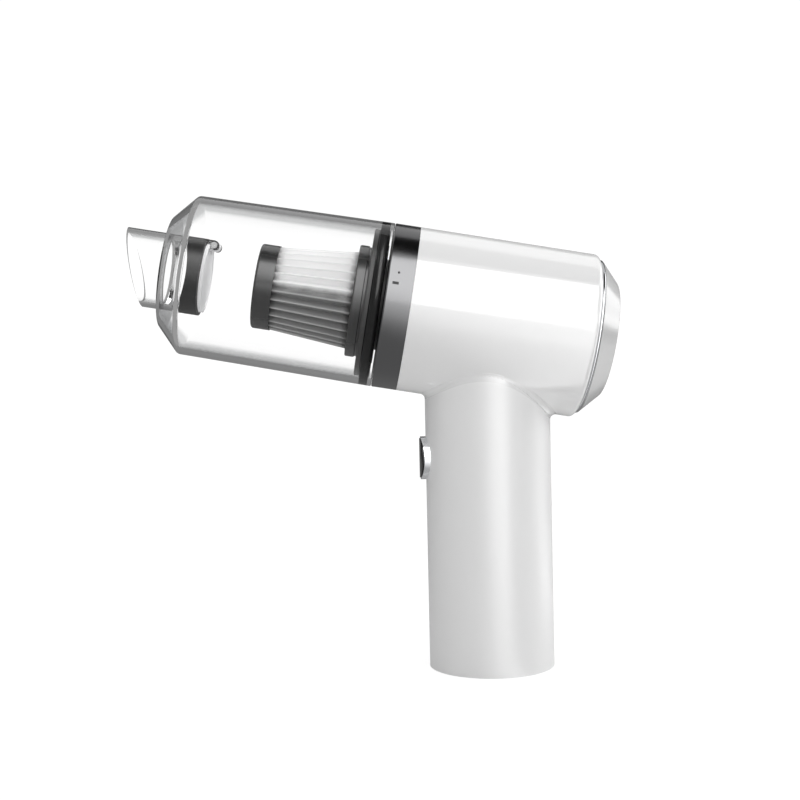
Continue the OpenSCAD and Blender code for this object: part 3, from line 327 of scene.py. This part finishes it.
def add_piece(name, points, faces, material, body, smooth=True):
    """A mesh piece in the object's frame that rides on a body and takes its finish from a slot."""
    mesh = bpy.data.meshes.new(name)
    mesh.from_pydata([tuple(p) for p in points], [], faces)
    mesh.materials.append(material)
    for face in mesh.polygons:
        face.use_smooth = smooth
    piece = bpy.data.objects.new(name, mesh)
    bpy.context.scene.collection.objects.link(piece)
    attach(piece, body)
    return piece


def ring_faces(turns, outline):
    """Faces of a ring swept all the way round in steps, from an outline with this many points."""
    return [(i * outline + k, i * outline + (k + 1) % outline,
             (i + 1) % turns * outline + (k + 1) % outline, (i + 1) % turns * outline + k)
            for i in range(turns) for k in range(outline)]


# The barrel's own axes: rearward, down and across, from the point on its axis at the collar's rear edge.
nose_up = math.radians(9.9)
barrel_r = 27.8 * mm
handle_r = 21.2 * mm
axis_start = Vector((-26.2, 0, 121.6)) * mm
rearward = Vector((math.cos(nose_up), 0, -math.sin(nose_up)))
downward = Vector((-math.sin(nose_up), 0, -math.cos(nose_up)))
across = Vector((0, 1, 0))

# The gloss changes on the saddle, just outside the barrel's radius. The mould's waves show in both.
shell_white = "#F0F0F0"
shell_ior = 2.0
barrel_gloss = 0.09
grip_gloss = 0.34
gloss_start = barrel_r + 0.3 * mm
gloss_end = barrel_r + 2.2 * mm
gloss_spread = 0.04
mould_wave_mm = 14
mould_wave_depth = 0.006 * mm

polished_abs = bpy.data.materials.new("polished_and_satin_abs")
tree = new_tree(polished_abs)
place = add_node(tree, "ShaderNodeTexCoord")
from_axis = add_node(tree, "ShaderNodeVectorMath", {"operation": "SUBTRACT", 1: axis_start},
                     {0: (place, "Object")})
lever = add_node(tree, "ShaderNodeVectorMath", {"operation": "CROSS_PRODUCT", 1: rearward},
                 {0: (from_axis, "Vector")})
axis_gap = add_node(tree, "ShaderNodeVectorMath", {"operation": "LENGTH"}, {0: (lever, "Vector")})
waves = add_node(tree, "ShaderNodeTexNoise", {"Scale": 1 / (mould_wave_mm * mm), "Detail": 1.0},
                 {"Vector": (place, "Object")})
gloss = add_node(tree, "ShaderNodeMapRange",
                 {"interpolation_type": "SMOOTHSTEP", "From Min": gloss_start, "From Max": gloss_end,
                  "To Min": barrel_gloss, "To Max": grip_gloss}, {"Value": (axis_gap, "Value")})
uneven = add_node(tree, "ShaderNodeMath",
                  {"operation": "MULTIPLY_ADD", 1: gloss_spread, 2: -gloss_spread / 2}, {0: (waves, "Fac")})
roughness = add_node(tree, "ShaderNodeMath", {"operation": "ADD"}, {0: (gloss, "Result"), 1: (uneven, 0)})
sink = add_node(tree, "ShaderNodeBump", {"Strength": 1, "Distance": mould_wave_depth},
                {"Height": (waves, "Fac")})
surface = add_node(tree, "ShaderNodeBsdfPrincipled", {"Base Color": linear(shell_white), "IOR": shell_ior},
                   {"Roughness": (roughness, 0), "Normal": (sink, "Normal")})
add_node(tree, "ShaderNodeOutputMaterial", links={"Surface": (surface, "BSDF")})
dress(polished_abs, "left_shell", "right_shell")


def barrel_point(station, radius, turn):
    """Point at a station and radius of the barrel; turn 0 is down and 90 degrees is to +Y."""
    return (axis_start + rearward * station + downward * radius * math.cos(turn)
            + across * radius * math.sin(turn))


# The fillet where the grip runs into the barrel is the track of a ball rolled round the joint. It stands a
# hair proud of both faces, and its root lies inside them.
fillet_r = 1.8 * mm
fillet_lift = 0.01 * mm
fillet_root = 0.3 * mm
fillet_turns = 160
fillet_steps = 6
points = []
for i in range(fillet_turns):
    angle = 2 * math.pi * i / fillet_turns
    out = Vector((math.cos(angle), math.sin(angle), 0))
    ball = out * (handle_r + fillet_r)
    drop = math.sqrt((barrel_r + fillet_r) ** 2 - ball.y ** 2)
    ball.z = axis_start.z - (drop + (ball.x - axis_start.x) * math.sin(nose_up)) / math.cos(nose_up)
    station = (ball - axis_start).dot(rearward)
    to_barrel = (axis_start + rearward * station - ball).normalized()
    to_grip = -out
    bend = to_grip.angle(to_barrel)
    for k in range(fillet_steps + 1):
        t = k / fillet_steps
        share = (math.sin((1 - t) * bend) * to_grip + math.sin(t * bend) * to_barrel) / math.sin(bend)
        points.append(ball + share * (fillet_r + fillet_lift))
    points.append(ball + (to_grip + to_barrel) * (fillet_r + fillet_root))
add_piece("saddle_fillet", points, ring_faces(fillet_turns, fillet_steps + 2), polished_abs, "housing")


# Collar
# ABS with a smooth gunmetal electroplated finish, snapped into the barrel by a bead on its spigot. Plating
# over a polished mould gives a dark mirror with a slight haze. Two small marks are printed on its side.
def moulded(name, colour, roughness, spread=0.05, patch_mm=6, grain_mm=0.4, depth_mm=0.002, ior=1.5,
            metallic=0.0):
    """A moulded or plated surface: gloss that varies in patches and a fine grain."""
    material = bpy.data.materials.new(name)
    tree = new_tree(material)
    place = add_node(tree, "ShaderNodeTexCoord")
    patches = add_node(tree, "ShaderNodeTexNoise", {"Scale": 1 / (patch_mm * mm), "Detail": 3},
                       {"Vector": (place, "Object")})
    grain = add_node(tree, "ShaderNodeTexNoise", {"Scale": 1 / (grain_mm * mm), "Detail": 2},
                     {"Vector": (place, "Object")})
    gloss = add_node(tree, "ShaderNodeMapRange",
                     {"To Min": roughness - spread, "To Max": roughness + spread},
                     {"Value": (patches, "Fac")})
    relief = add_node(tree, "ShaderNodeBump", {"Strength": 1, "Distance": depth_mm * mm},
                      {"Height": (grain, "Fac")})
    surface = add_node(tree, "ShaderNodeBsdfPrincipled",
                       {"Base Color": linear(colour), "IOR": ior, "Metallic": metallic},
                       {"Roughness": (gloss, "Result"), "Normal": (relief, "Normal")})
    add_node(tree, "ShaderNodeOutputMaterial", links={"Surface": (surface, "BSDF")})
    return material


ink_height = 0.03 * mm
ink_root = 0.05 * mm
ink_edge_points = 24

gunmetal = moulded("gunmetal_plating", "#727273", 0.2, depth_mm=0.0004, metallic=1.0)
dress(gunmetal, "collar")
mark_ink = moulded("mark_ink", "#222223", 0.5)


def printed_patch(name, station, turn, length, width, round_ends):
    """A thin printed patch on the collar, centred at a station and turn."""
    count = ink_edge_points
    edge = []
    for i in range(count):
        angle = 2 * math.pi * i / count
        along = math.cos(angle)
        round_it = math.sin(angle)
        if not round_ends:
            reach = max(abs(along), abs(round_it))
            along = along / reach
            round_it = round_it / reach
        edge.append((station + along * length / 2, turn + round_it * width / 2 / barrel_r))
    top = [barrel_point(a, barrel_r + ink_height, t) for a, t in edge]
    bottom = [barrel_point(a, barrel_r - ink_root, t) for a, t in edge]
    sides = [(i, (i + 1) % count, count + (i + 1) % count, count + i) for i in range(count)]
    caps = [tuple(reversed(range(count))), tuple(range(count, 2 * count))]
    add_piece(name, top + bottom, sides + caps, mark_ink, "housing", smooth=False)


printed_patch("mark_dot", -5.2 * mm, math.radians(-110.5), 0.8 * mm, 0.8 * mm, True)
printed_patch("mark_bar", -5.8 * mm, math.radians(-103), 2.0 * mm, 0.9 * mm, False)


# Filter carrier and gasket
# The carrier is dark ABS with a moulded satin, which turns the lamps to soft rings. The gasket is a black
# rubber ring in its groove, squeezed flat against the cup's wall, so it shows black out to its outline.
carrier_abs = moulded("satin_dark_abs", "#3C3C3C", 0.34, ior=1.45)
dress(carrier_abs, "filter_carrier")

gasket_black = moulded("black_rubber", "#171717", 0.22, grain_mm=0.25, depth_mm=0.001, ior=1.5)
dress(gasket_black, "motor_damper")
gasket_front = -13.3 * mm
gasket_back = -9.6 * mm
gasket_inner_r = 20.0 * mm
gasket_side_r = 24.6 * mm
gasket_round_r = 25.3 * mm
gasket_outer_r = 25.72 * mm
round_start = 0.3 * mm
round_end = 0.5 * mm
ring_turns = 160
outline = [(gasket_front, gasket_inner_r), (gasket_front, gasket_side_r),
           (gasket_front + round_start, gasket_round_r), (gasket_front + round_end, gasket_outer_r),
           (gasket_back - round_end, gasket_outer_r), (gasket_back - round_start, gasket_round_r),
           (gasket_back, gasket_side_r), (gasket_back, gasket_inner_r)]
points = []
for i in range(ring_turns):
    turn = 2 * math.pi * i / ring_turns
    points += [barrel_point(a, r, turn) for a, r in outline]
squeezed = add_piece("squeezed_gasket", points, ring_faces(ring_turns, len(outline)), gasket_black,
                     "carrier")
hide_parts("cup_gasket")


# Filter
# A cone of folded paper, glued between a dark end cap and a base ring. The pleats are pressed to a round
# crest. The lower half is painted darker as painted shade, with darker folds and paler crests. The upper
# half's folds are painted whiter than its crests, as painted light against their own shade.
filter_abs = moulded("filter_abs", "#323232", 0.22, depth_mm=0.0006, ior=1.7)
dress(filter_abs, "filter_cap", "filter_frame")
dress(carrier_abs, "filter_core")

media_start = -45.3 * mm
media_end = -19.0 * mm
media_front_r = 14.25 * mm
media_base_r = 16.75 * mm
pleats = 30
pleat_depth = 2.6 * mm
paper_t = 0.5 * mm
pressed = 0.18
fold_steps = 12
cone_steps = 10

# The painted shade of the lower half ends along the axis with a ragged edge. From the given depth on, a fold
# takes its fold colour: darker below as painted shade, whiter above as painted light.
upper_crest = "#EAEAEA"
upper_fold_painted_light = "#FFFFFF"
painted_shade_crest = "#B9B9B9"
painted_shade_fold = "#8A8A8A"
fibre_mm = 0.35
fibre_depth = 0.02 * mm
shade_edge_noise_mm = 5
shade_edge_reach = 2.0 * mm
painted_shade_limit = (-0.5 * mm, 3.2 * mm)
fold_paint_limit = (0.16 * mm, 0.75 * mm)

paper = bpy.data.materials.new("pleated_filter_paper")
tree = new_tree(paper)
place = add_node(tree, "ShaderNodeTexCoord")
upward = [-c for c in downward]
raised = add_node(tree, "ShaderNodeVectorMath", {"operation": "DOT_PRODUCT", 1: upward},
                  {0: (place, "Object")})
height = add_node(tree, "ShaderNodeMath", {"operation": "SUBTRACT", 1: axis_start.dot(Vector(upward))},
                  {0: (raised, "Value")})
along = add_node(tree, "ShaderNodeVectorMath", {"operation": "DOT_PRODUCT", 1: list(rearward)},
                 {0: (place, "Object")})
cone_slope = (media_base_r - media_front_r) / (media_end - media_start)
cone_start_r = media_front_r - cone_slope * (media_start + axis_start.dot(rearward))
crest = add_node(tree, "ShaderNodeMath", {"operation": "MULTIPLY_ADD", 1: cone_slope, 2: cone_start_r},
                 {0: (along, "Value")})
split = add_node(tree, "ShaderNodeSeparateXYZ", links={"Vector": (place, "Object")})
plane = add_node(tree, "ShaderNodeCombineXYZ", links={"X": (split, "Y"), "Y": (height, 0)})
radius = add_node(tree, "ShaderNodeVectorMath", {"operation": "LENGTH"}, {0: (plane, "Vector")})
depth = add_node(tree, "ShaderNodeMath", {"operation": "SUBTRACT"}, {0: (crest, 0), 1: (radius, "Value")})
fibres = add_node(tree, "ShaderNodeTexNoise", {"Scale": 1 / (fibre_mm * mm), "Detail": 4, "Roughness": 0.7},
                  {"Vector": (place, "Object")})
shade_edge_noise = add_node(tree, "ShaderNodeTexNoise", {"Scale": 1 / (shade_edge_noise_mm * mm), "Detail": 2},
                 {"Vector": (place, "Object")})
ragged_shade_height = add_node(tree, "ShaderNodeMath", {"operation": "MULTIPLY_ADD", 1: shade_edge_reach},
                  {0: (shade_edge_noise, "Fac"), 2: (height, 0)})
# Painted shade: the paper's lower half goes darker, below a ragged line along the axis.
painted_shade_lower = add_node(tree, "ShaderNodeMapRange",
                 {"interpolation_type": "SMOOTHSTEP", "From Min": painted_shade_limit[0], "From Max": painted_shade_limit[1],
                  "To Min": 1.0, "To Max": 0.0}, {"Value": (ragged_shade_height, 0)})
# Painted fold colour: darker than the crests below as painted shade, whiter than them above as painted light.
painted_fold_mask = add_node(tree, "ShaderNodeMapRange",
                  {"interpolation_type": "SMOOTHSTEP", "From Min": fold_paint_limit[0], "From Max": fold_paint_limit[1]},
                  {"Value": (depth, 0)})
upper_colour = add_node(tree, "ShaderNodeMix",
                 {"data_type": "RGBA", 6: linear(upper_crest), 7: linear(upper_fold_painted_light)},
                 {0: (painted_fold_mask, "Result")})
painted_shade_colour = add_node(tree, "ShaderNodeMix",
                {"data_type": "RGBA", 6: linear(painted_shade_crest), 7: linear(painted_shade_fold)},
                {0: (painted_fold_mask, "Result")})
shade = add_node(tree, "ShaderNodeMix", {"data_type": "RGBA"},
                 {0: (painted_shade_lower, "Result"), 6: (upper_colour, 2), 7: (painted_shade_colour, 2)})
felt = add_node(tree, "ShaderNodeBump", {"Strength": 1, "Distance": fibre_depth},
                {"Height": (fibres, "Fac")})
surface = add_node(tree, "ShaderNodeBsdfPrincipled", {"Roughness": 0.85, "IOR": 1.4},
                   {"Base Color": (shade, 2), "Normal": (felt, "Normal")})
add_node(tree, "ShaderNodeOutputMaterial", links={"Surface": (surface, "BSDF")})


def fold_depth(turn):
    """Depth of the folded paper below its crest at a turn, with crests and folds pressed round."""
    fold = (turn * pleats / (2 * math.pi)) % 1
    ramp = abs(2 * fold - 1)
    if ramp > 1 - pressed:
        ramp = 1 - pressed / 2 - (1 - ramp) ** 2 / (2 * pressed)
    elif ramp < pressed:
        ramp = pressed / 2 + ramp ** 2 / (2 * pressed)
    return pleat_depth * (1 - ramp)


points = []
around = pleats * fold_steps
for skin in (0, paper_t):
    for j in range(cone_steps + 1):
        share = j / cone_steps
        station = media_start + (media_end - media_start) * share
        widen = 1 + (media_base_r / media_front_r - 1) * share
        for i in range(around):
            turn = 2 * math.pi * i / around
            points.append(barrel_point(station, (media_front_r - fold_depth(turn) - skin) * widen, turn))
rows = 2 * (cone_steps + 1)
faces = []
order = list(range(cone_steps + 1)) + list(range(rows - 1, cone_steps, -1))
for j in range(rows):
    a = order[j]
    b = order[(j + 1) % rows]
    for i in range(around):
        n = (i + 1) % around
        faces.append((a * around + i, a * around + n, b * around + n, b * around + i))
pleated = add_piece("pleated_paper", points, faces, paper, "cartridge")
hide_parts("filter_media")


# Dust cup
# One injection moulding of clear styrene with its inlet tube, from a polished mould, which slides over the
# gasket. It is clear through its wall, and its colour is painted grey wherever the eye looks along the wall,
# painted shade that draws its own outline. The black specular tint takes the veil of reflections off its
# middle.
painted_edge_grey = "#B6B7B8"
painted_edge_slope = (0.5, 0.62)
flow_mm = 11
flow_depth = 0.004 * mm

clear = bpy.data.materials.new("clear_moulded_styrene")
tree = new_tree(clear)
place = add_node(tree, "ShaderNodeTexCoord")
waves = add_node(tree, "ShaderNodeTexNoise", {"Scale": 1 / (flow_mm * mm), "Detail": 1},
                 {"Vector": (place, "Object")})
flow = add_node(tree, "ShaderNodeBump", {"Strength": 1, "Distance": flow_depth}, {"Height": (waves, "Fac")})
gloss = add_node(tree, "ShaderNodeMapRange", {"To Min": 0.0, "To Max": 0.03}, {"Value": (waves, "Fac")})
slope = add_node(tree, "ShaderNodeLayerWeight", {"Blend": 0.5})
# Painted shade: the colour greys where the wall is seen edge-on.
edge = add_node(tree, "ShaderNodeMapRange",
                {"interpolation_type": "SMOOTHSTEP", "From Min": painted_edge_slope[0], "From Max": painted_edge_slope[1]},
                {"Value": (slope, "Facing")})
tint = add_node(tree, "ShaderNodeMix", {"data_type": "RGBA", 6: linear("#FFFFFF"), 7: linear(painted_edge_grey)},
                {0: (edge, "Result")})
surface = add_node(tree, "ShaderNodeBsdfPrincipled",
                   {"IOR": 1.49, "Transmission Weight": 1, "Specular Tint": (0, 0, 0, 1)},
                   {"Base Color": (tint, 2), "Roughness": (gloss, "Result"), "Normal": (flow, "Normal")})
add_node(tree, "ShaderNodeOutputMaterial", links={"Surface": (surface, "BSDF")})
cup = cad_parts["dust_cup"]
dress(clear, "dust_cup")
cup.visible_shadow = False
cup.visible_diffuse = False
cup.visible_glossy = False


# Inlet sleeve and flap
# The sleeve is dark moulded rubber, pushed over the tube's inner end, and its satin spreads the lamps to
# bands. The flap is pale silicone that hangs on a nylon pin, so dull that it shows only its own shading.
sleeve_rubber = moulded("sleeve_rubber", "#282828", 0.33, grain_mm=0.3, depth_mm=0.001, ior=1.6)
dress(sleeve_rubber, "inlet_sleeve")
dress(moulded("flap_silicone", "#FBFBFC", 0.6, ior=1.15), "flap_valve")
dress(moulded("pale_nylon", "#D4D4D4", 0.4), "flap_pin")


# Rear end
# A bright chrome-plated ring, rolled round on its outside, is pressed in between the barrel and a tapered
# cap of glossy white ABS, whose mouth holds the dark grille. The ring's roundness squeezes the whole room
# into fine light and dark lines.
chrome = moulded("rolled_chrome", "#C9CACC", 0.1, spread=0.03, depth_mm=0.0003, metallic=1.0)
# Painted shade: the cap's white ABS is given a greyer colour than the shells' white, so that it renders
# darker, and the lamp it mirrors keeps its top white.
dress(moulded("rear_cap_abs", "#C6C6C6", 0.16, spread=0.04, depth_mm=0.001, ior=1.8), "rear_cap")
dress(moulded("grille_abs", "#5E5E60", 0.42), "exhaust_grille", "intake_grille")

ring_front = 60.7 * mm
ring_back = 61.9 * mm
ring_r = 26.28 * mm
ring_inner_r = 24.2 * mm
ring_crown = 0.5 * mm
ring_arc = 8
ring_middle = (ring_front + ring_back) / 2
points = []
for i in range(ring_turns):
    turn = 2 * math.pi * i / ring_turns
    for k in range(ring_arc + 1):
        angle = math.pi * k / ring_arc
        station = ring_middle - (ring_back - ring_front) / 2 * math.cos(angle)
        points.append(barrel_point(station, ring_r - ring_crown * (1 - math.sin(angle)), turn))
    points.append(barrel_point(ring_back, ring_inner_r, turn))
    points.append(barrel_point(ring_front, ring_inner_r, turn))
rolled = add_piece("rolled_ring", points, ring_faces(ring_turns, ring_arc + 3), chrome, "housing")
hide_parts("trim_ring")


# Push button
# Black ABS from a polished mould, which slides in a chrome-plated bezel pressed into the handle. Fingers
# leave its gloss slightly uneven, and the bezel mirrors the room as thin light and dark rims.
bezel_chrome = moulded("bright_chrome_plating", "#EDEEF0", 0.08, spread=0.03, depth_mm=0.0003, metallic=1.0)
dress(bezel_chrome, "button_bezel")
dress(moulded("polished_black_abs", "#101011", 0.12, spread=0.06, patch_mm=3, depth_mm=0.0006), "button_cap")


# Foot
# The plate that closes the handle, snapped into its end, in white ABS. The spark-eroded mould leaves a fine
# grain, which looks flat beside the satin of the grip.
dress(moulded("spark_eroded_abs", "#E2E2E2", 0.45, grain_mm=0.5, depth_mm=0.01), "foot_cap")


# Charging socket and light
# The socket's shell is stamped from bright steel strip and soldered to the board, with fine lines along it.
# The light pipe is clear styrene with a frosted end, which blurs what lies behind it.
def lined(name, colour, roughness, fine_mm, long_mm, tilt=0.0, depth_mm=0.004, metallic=1.0, shades=0.12):
    """A drawn, ground or laid surface: fine across the axes that have a size, long along those with None."""
    material = bpy.data.materials.new(name)
    tree = new_tree(material)
    place = add_node(tree, "ShaderNodeTexCoord")
    frame_turn = add_node(tree, "ShaderNodeVectorRotate", {"rotation_type": "Y_AXIS", "Angle": -tilt},
                          {"Vector": (place, "Object")})
    scales = [1 / ((fine or long_mm) * mm) for fine in fine_mm]
    stretch = add_node(tree, "ShaderNodeVectorMath", {"operation": "MULTIPLY", 1: scales},
                       {0: (frame_turn, "Vector")})
    lines = add_node(tree, "ShaderNodeTexNoise", {"Scale": 1.0, "Detail": 2},
                     {"Vector": (stretch, "Vector")})
    base = linear(colour)
    dark = [c * (1 - shades) for c in base[:3]] + [1]
    shade = add_node(tree, "ShaderNodeMix", {"data_type": "RGBA", 6: dark, 7: base}, {0: (lines, "Fac")})
    gloss = add_node(tree, "ShaderNodeMapRange", {"To Min": roughness - 0.08, "To Max": roughness + 0.08},
                     {"Value": (lines, "Fac")})
    relief = add_node(tree, "ShaderNodeBump", {"Strength": 1, "Distance": depth_mm * mm},
                      {"Height": (lines, "Fac")})
    surface = add_node(tree, "ShaderNodeBsdfPrincipled", {"Metallic": metallic},
                       {"Base Color": (shade, 2), "Roughness": (gloss, "Result"),
                        "Normal": (relief, "Normal")})
    add_node(tree, "ShaderNodeOutputMaterial", links={"Surface": (surface, "BSDF")})
    return material


dress(lined("stamped_steel", "#C4C5C7", 0.26, (0.2, 0.2, None), 5), "usb_socket")

frost_mm = 0.2
frost_depth = 0.01 * mm
light_pipe = bpy.data.materials.new("frosted_light_pipe")
tree = new_tree(light_pipe)
place = add_node(tree, "ShaderNodeTexCoord")
frost = add_node(tree, "ShaderNodeTexNoise", {"Scale": 1 / (frost_mm * mm)}, {"Vector": (place, "Object")})
gloss = add_node(tree, "ShaderNodeMapRange", {"To Min": 0.2, "To Max": 0.4}, {"Value": (frost, "Fac")})
relief = add_node(tree, "ShaderNodeBump", {"Strength": 1, "Distance": frost_depth},
                  {"Height": (frost, "Fac")})
surface = add_node(tree, "ShaderNodeBsdfPrincipled",
                   {"Base Color": linear("#F2F6F6"), "IOR": 1.49, "Transmission Weight": 0.9},
                   {"Roughness": (gloss, "Result"), "Normal": (relief, "Normal")})
add_node(tree, "ShaderNodeOutputMaterial", links={"Surface": (surface, "BSDF")})
dress(light_pipe, "charge_light")


# Circuit boards
# Glass-fibre boards under green solder mask, held by zinc-plated screws. The copper tracks raise the mask
# and show as paler lines, and the weave under it breaks up the gloss.
track_mm = 1.3
track_depth = 0.03 * mm
weave_mm = 0.6
circuit = bpy.data.materials.new("solder_mask_over_tracks")
tree = new_tree(circuit)
place = add_node(tree, "ShaderNodeTexCoord")
tracks = add_node(tree, "ShaderNodeTexBrick",
                  {"Color1": (0, 0, 0, 1), "Color2": (0, 0, 0, 1), "Mortar": (1, 1, 1, 1),
                   "Scale": 1 / (track_mm * mm), "Mortar Size": 0.1, "Mortar Smooth": 0.2,
                   "Brick Width": 2.7, "Row Height": 0.8}, {"Vector": (place, "Object")})
mask = add_node(tree, "ShaderNodeMix", {"data_type": "RGBA", 6: linear("#155A38"), 7: linear("#3E8A5E")},
                {0: (tracks, "Fac")})
weave = add_node(tree, "ShaderNodeTexNoise", {"Scale": 1 / (weave_mm * mm), "Detail": 3},
                 {"Vector": (place, "Object")})
gloss = add_node(tree, "ShaderNodeMapRange", {"To Min": 0.22, "To Max": 0.42}, {"Value": (weave, "Fac")})
relief = add_node(tree, "ShaderNodeBump", {"Strength": 1, "Distance": track_depth},
                  {"Height": (tracks, "Fac")})
surface = add_node(tree, "ShaderNodeBsdfPrincipled", {"IOR": 1.55},
                   {"Base Color": (mask, 2), "Roughness": (gloss, "Result"), "Normal": (relief, "Normal")})
add_node(tree, "ShaderNodeOutputMaterial", links={"Surface": (surface, "BSDF")})
dress(circuit, "charge_board", "switch_board")
zinc = moulded("zinc_plated_steel", "#BFC0BE", 0.34, spread=0.1, patch_mm=1.5, depth_mm=0.003, metallic=1.0)
dress(zinc, "board_screws", "motor_screws")


# Switch
# A small tactile switch in black glass-filled nylon, soldered to its board and pressed by a moulded acetal
# plunger. The fibres leave its face dull and mottled, and the acetal is smooth and waxy.
dress(moulded("glass_filled_nylon", "#242426", 0.5, spread=0.1, patch_mm=1.2, grain_mm=0.15, depth_mm=0.006),
      "tact_switch")
dress(moulded("acetal", "#3A3A3C", 0.36), "switch_plunger")


# Battery
# Two steel cells in a blue shrink sleeve with bare ends, joined by spot-welded nickel strip, in black ABS
# holders. The sleeve is glossy and slightly wavy, and the strip shows the lines of its rolling.
sleeve_edge = 0.9
film_mm = 9
film_depth = 0.04 * mm
cell = bpy.data.materials.new("shrink_sleeved_cell")
tree = new_tree(cell)
place = add_node(tree, "ShaderNodeTexCoord")
shape = add_node(tree, "ShaderNodeNewGeometry")
facing = add_node(tree, "ShaderNodeSeparateXYZ", links={"Vector": (shape, "Normal")})
upright = add_node(tree, "ShaderNodeMath", {"operation": "ABSOLUTE"}, {0: (facing, "Z")})
bare = add_node(tree, "ShaderNodeMath", {"operation": "GREATER_THAN", 1: sleeve_edge}, {0: (upright, 0)})
film = add_node(tree, "ShaderNodeTexNoise", {"Scale": 1 / (film_mm * mm), "Detail": 2},
                {"Vector": (place, "Object")})
colour = add_node(tree, "ShaderNodeMix", {"data_type": "RGBA", 6: linear("#2F6BA8"), 7: linear("#C2C3C5")},
                  {0: (bare, 0)})
gloss = add_node(tree, "ShaderNodeMapRange", {"To Min": 0.18, "To Max": 0.36}, {"Value": (film, "Fac")})
relief = add_node(tree, "ShaderNodeBump", {"Strength": 1, "Distance": film_depth}, {"Height": (film, "Fac")})
surface = add_node(tree, "ShaderNodeBsdfPrincipled",
                   links={"Base Color": (colour, 2), "Metallic": (bare, 0), "Roughness": (gloss, "Result"),
                          "Normal": (relief, "Normal")})
add_node(tree, "ShaderNodeOutputMaterial", links={"Surface": (surface, "BSDF")})
dress(cell, "battery_cells")
dress(lined("rolled_nickel", "#C9C6BD", 0.3, (0.25, None, 0.25), 6), "cell_tabs")
dress(moulded("holder_abs", "#2B2B2D", 0.45, grain_mm=0.5, depth_mm=0.008), "cell_holder_top",
      "cell_holder_bottom")


# Motor leads
# Two stranded wires in PVC, a red one and a black one, soldered between motor and board. Extruded
# insulation has a dull slip that waves slightly.
draw_mm = 1.8
draw_depth = 0.02 * mm
leads = bpy.data.materials.new("extruded_insulation")
tree = new_tree(leads)
place = add_node(tree, "ShaderNodeTexCoord")
side = add_node(tree, "ShaderNodeSeparateXYZ", links={"Vector": (place, "Object")})
red_side = add_node(tree, "ShaderNodeMath", {"operation": "GREATER_THAN", 1: 0.0}, {0: (side, "Y")})
colour = add_node(tree, "ShaderNodeMix", {"data_type": "RGBA", 6: linear("#1B1B1C"), 7: linear("#B4262A")},
                  {0: (red_side, 0)})
draw = add_node(tree, "ShaderNodeTexNoise", {"Scale": 1 / (draw_mm * mm), "Detail": 3},
                {"Vector": (place, "Object")})
gloss = add_node(tree, "ShaderNodeMapRange", {"To Min": 0.32, "To Max": 0.5}, {"Value": (draw, "Fac")})
relief = add_node(tree, "ShaderNodeBump", {"Strength": 1, "Distance": draw_depth}, {"Height": (draw, "Fac")})
surface = add_node(tree, "ShaderNodeBsdfPrincipled",
                   links={"Base Color": (colour, 2), "Roughness": (gloss, "Result"),
                          "Normal": (relief, "Normal")})
add_node(tree, "ShaderNodeOutputMaterial", links={"Surface": (surface, "BSDF")})
dress(leads, "motor_leads")


# Fan
# The cover and the motor bracket are grey ABS with a fine grain. The impeller, pressed on the motor's
# shaft, is a paler glass-filled nylon, whose fibres leave fine streaks on the blades.
dress(moulded("fan_housing_abs", "#4A4A4C", 0.45, grain_mm=0.5, depth_mm=0.008), "fan_cover",
      "motor_bracket")
dress(lined("glass_filled_impeller_nylon", "#8C8D90", 0.42, (0.3, 0.3, None), 4, nose_up, 0.006, 0.0, 0.16),
      "impeller")


# Motor
# A deep-drawn and plated steel can with draw marks along it, closed by an ivory nylon end. In it stand
# ferrite magnets and bronze bushes, both sintered and dull, and brushes of pressed carbon.
dress(lined("deep_drawn_steel", "#B7B8BA", 0.28, (None, 0.3, 0.3), 9, nose_up), "motor_can")
dress(moulded("end_bell_nylon", "#D8D0BC", 0.5, grain_mm=0.3, depth_mm=0.006), "motor_end_bell")
dress(moulded("sintered_ferrite", "#3A3B3D", 0.55, spread=0.1, patch_mm=1.5, grain_mm=0.15, depth_mm=0.01),
      "motor_magnets")
dress(moulded("sintered_bronze", "#A9834A", 0.45, spread=0.12, patch_mm=0.6, grain_mm=0.1, depth_mm=0.008,
              metallic=1.0), "motor_bushes")
dress(moulded("pressed_carbon", "#262626", 0.6, spread=0.1, patch_mm=0.8, grain_mm=0.12, depth_mm=0.01),
      "motor_brushes")


# Armature
# Thin steel sheets stacked on a ground shaft, wound with enamelled copper wire whose turns show as fine
# glossy lines. The commutator's copper is turned, and its tool marks ring it.
dress(lined("ground_steel", "#C6C7C9", 0.18, (0.12, None, None), 30, nose_up, 0.0015), "motor_shaft")
dress(lined("stacked_steel_sheets", "#7C7D80", 0.4, (0.35, None, None), 60, nose_up, 0.03, 1.0, 0.4),
      "armature_core")
dress(lined("enamelled_wire", "#A8572A", 0.25, (None, 0.3, 0.3), 12, nose_up, 0.06, 1.0, 0.3),
      "armature_windings")
dress(lined("turned_copper", "#C07A4A", 0.28, (0.1, None, None), 30, nose_up, 0.003), "commutator")
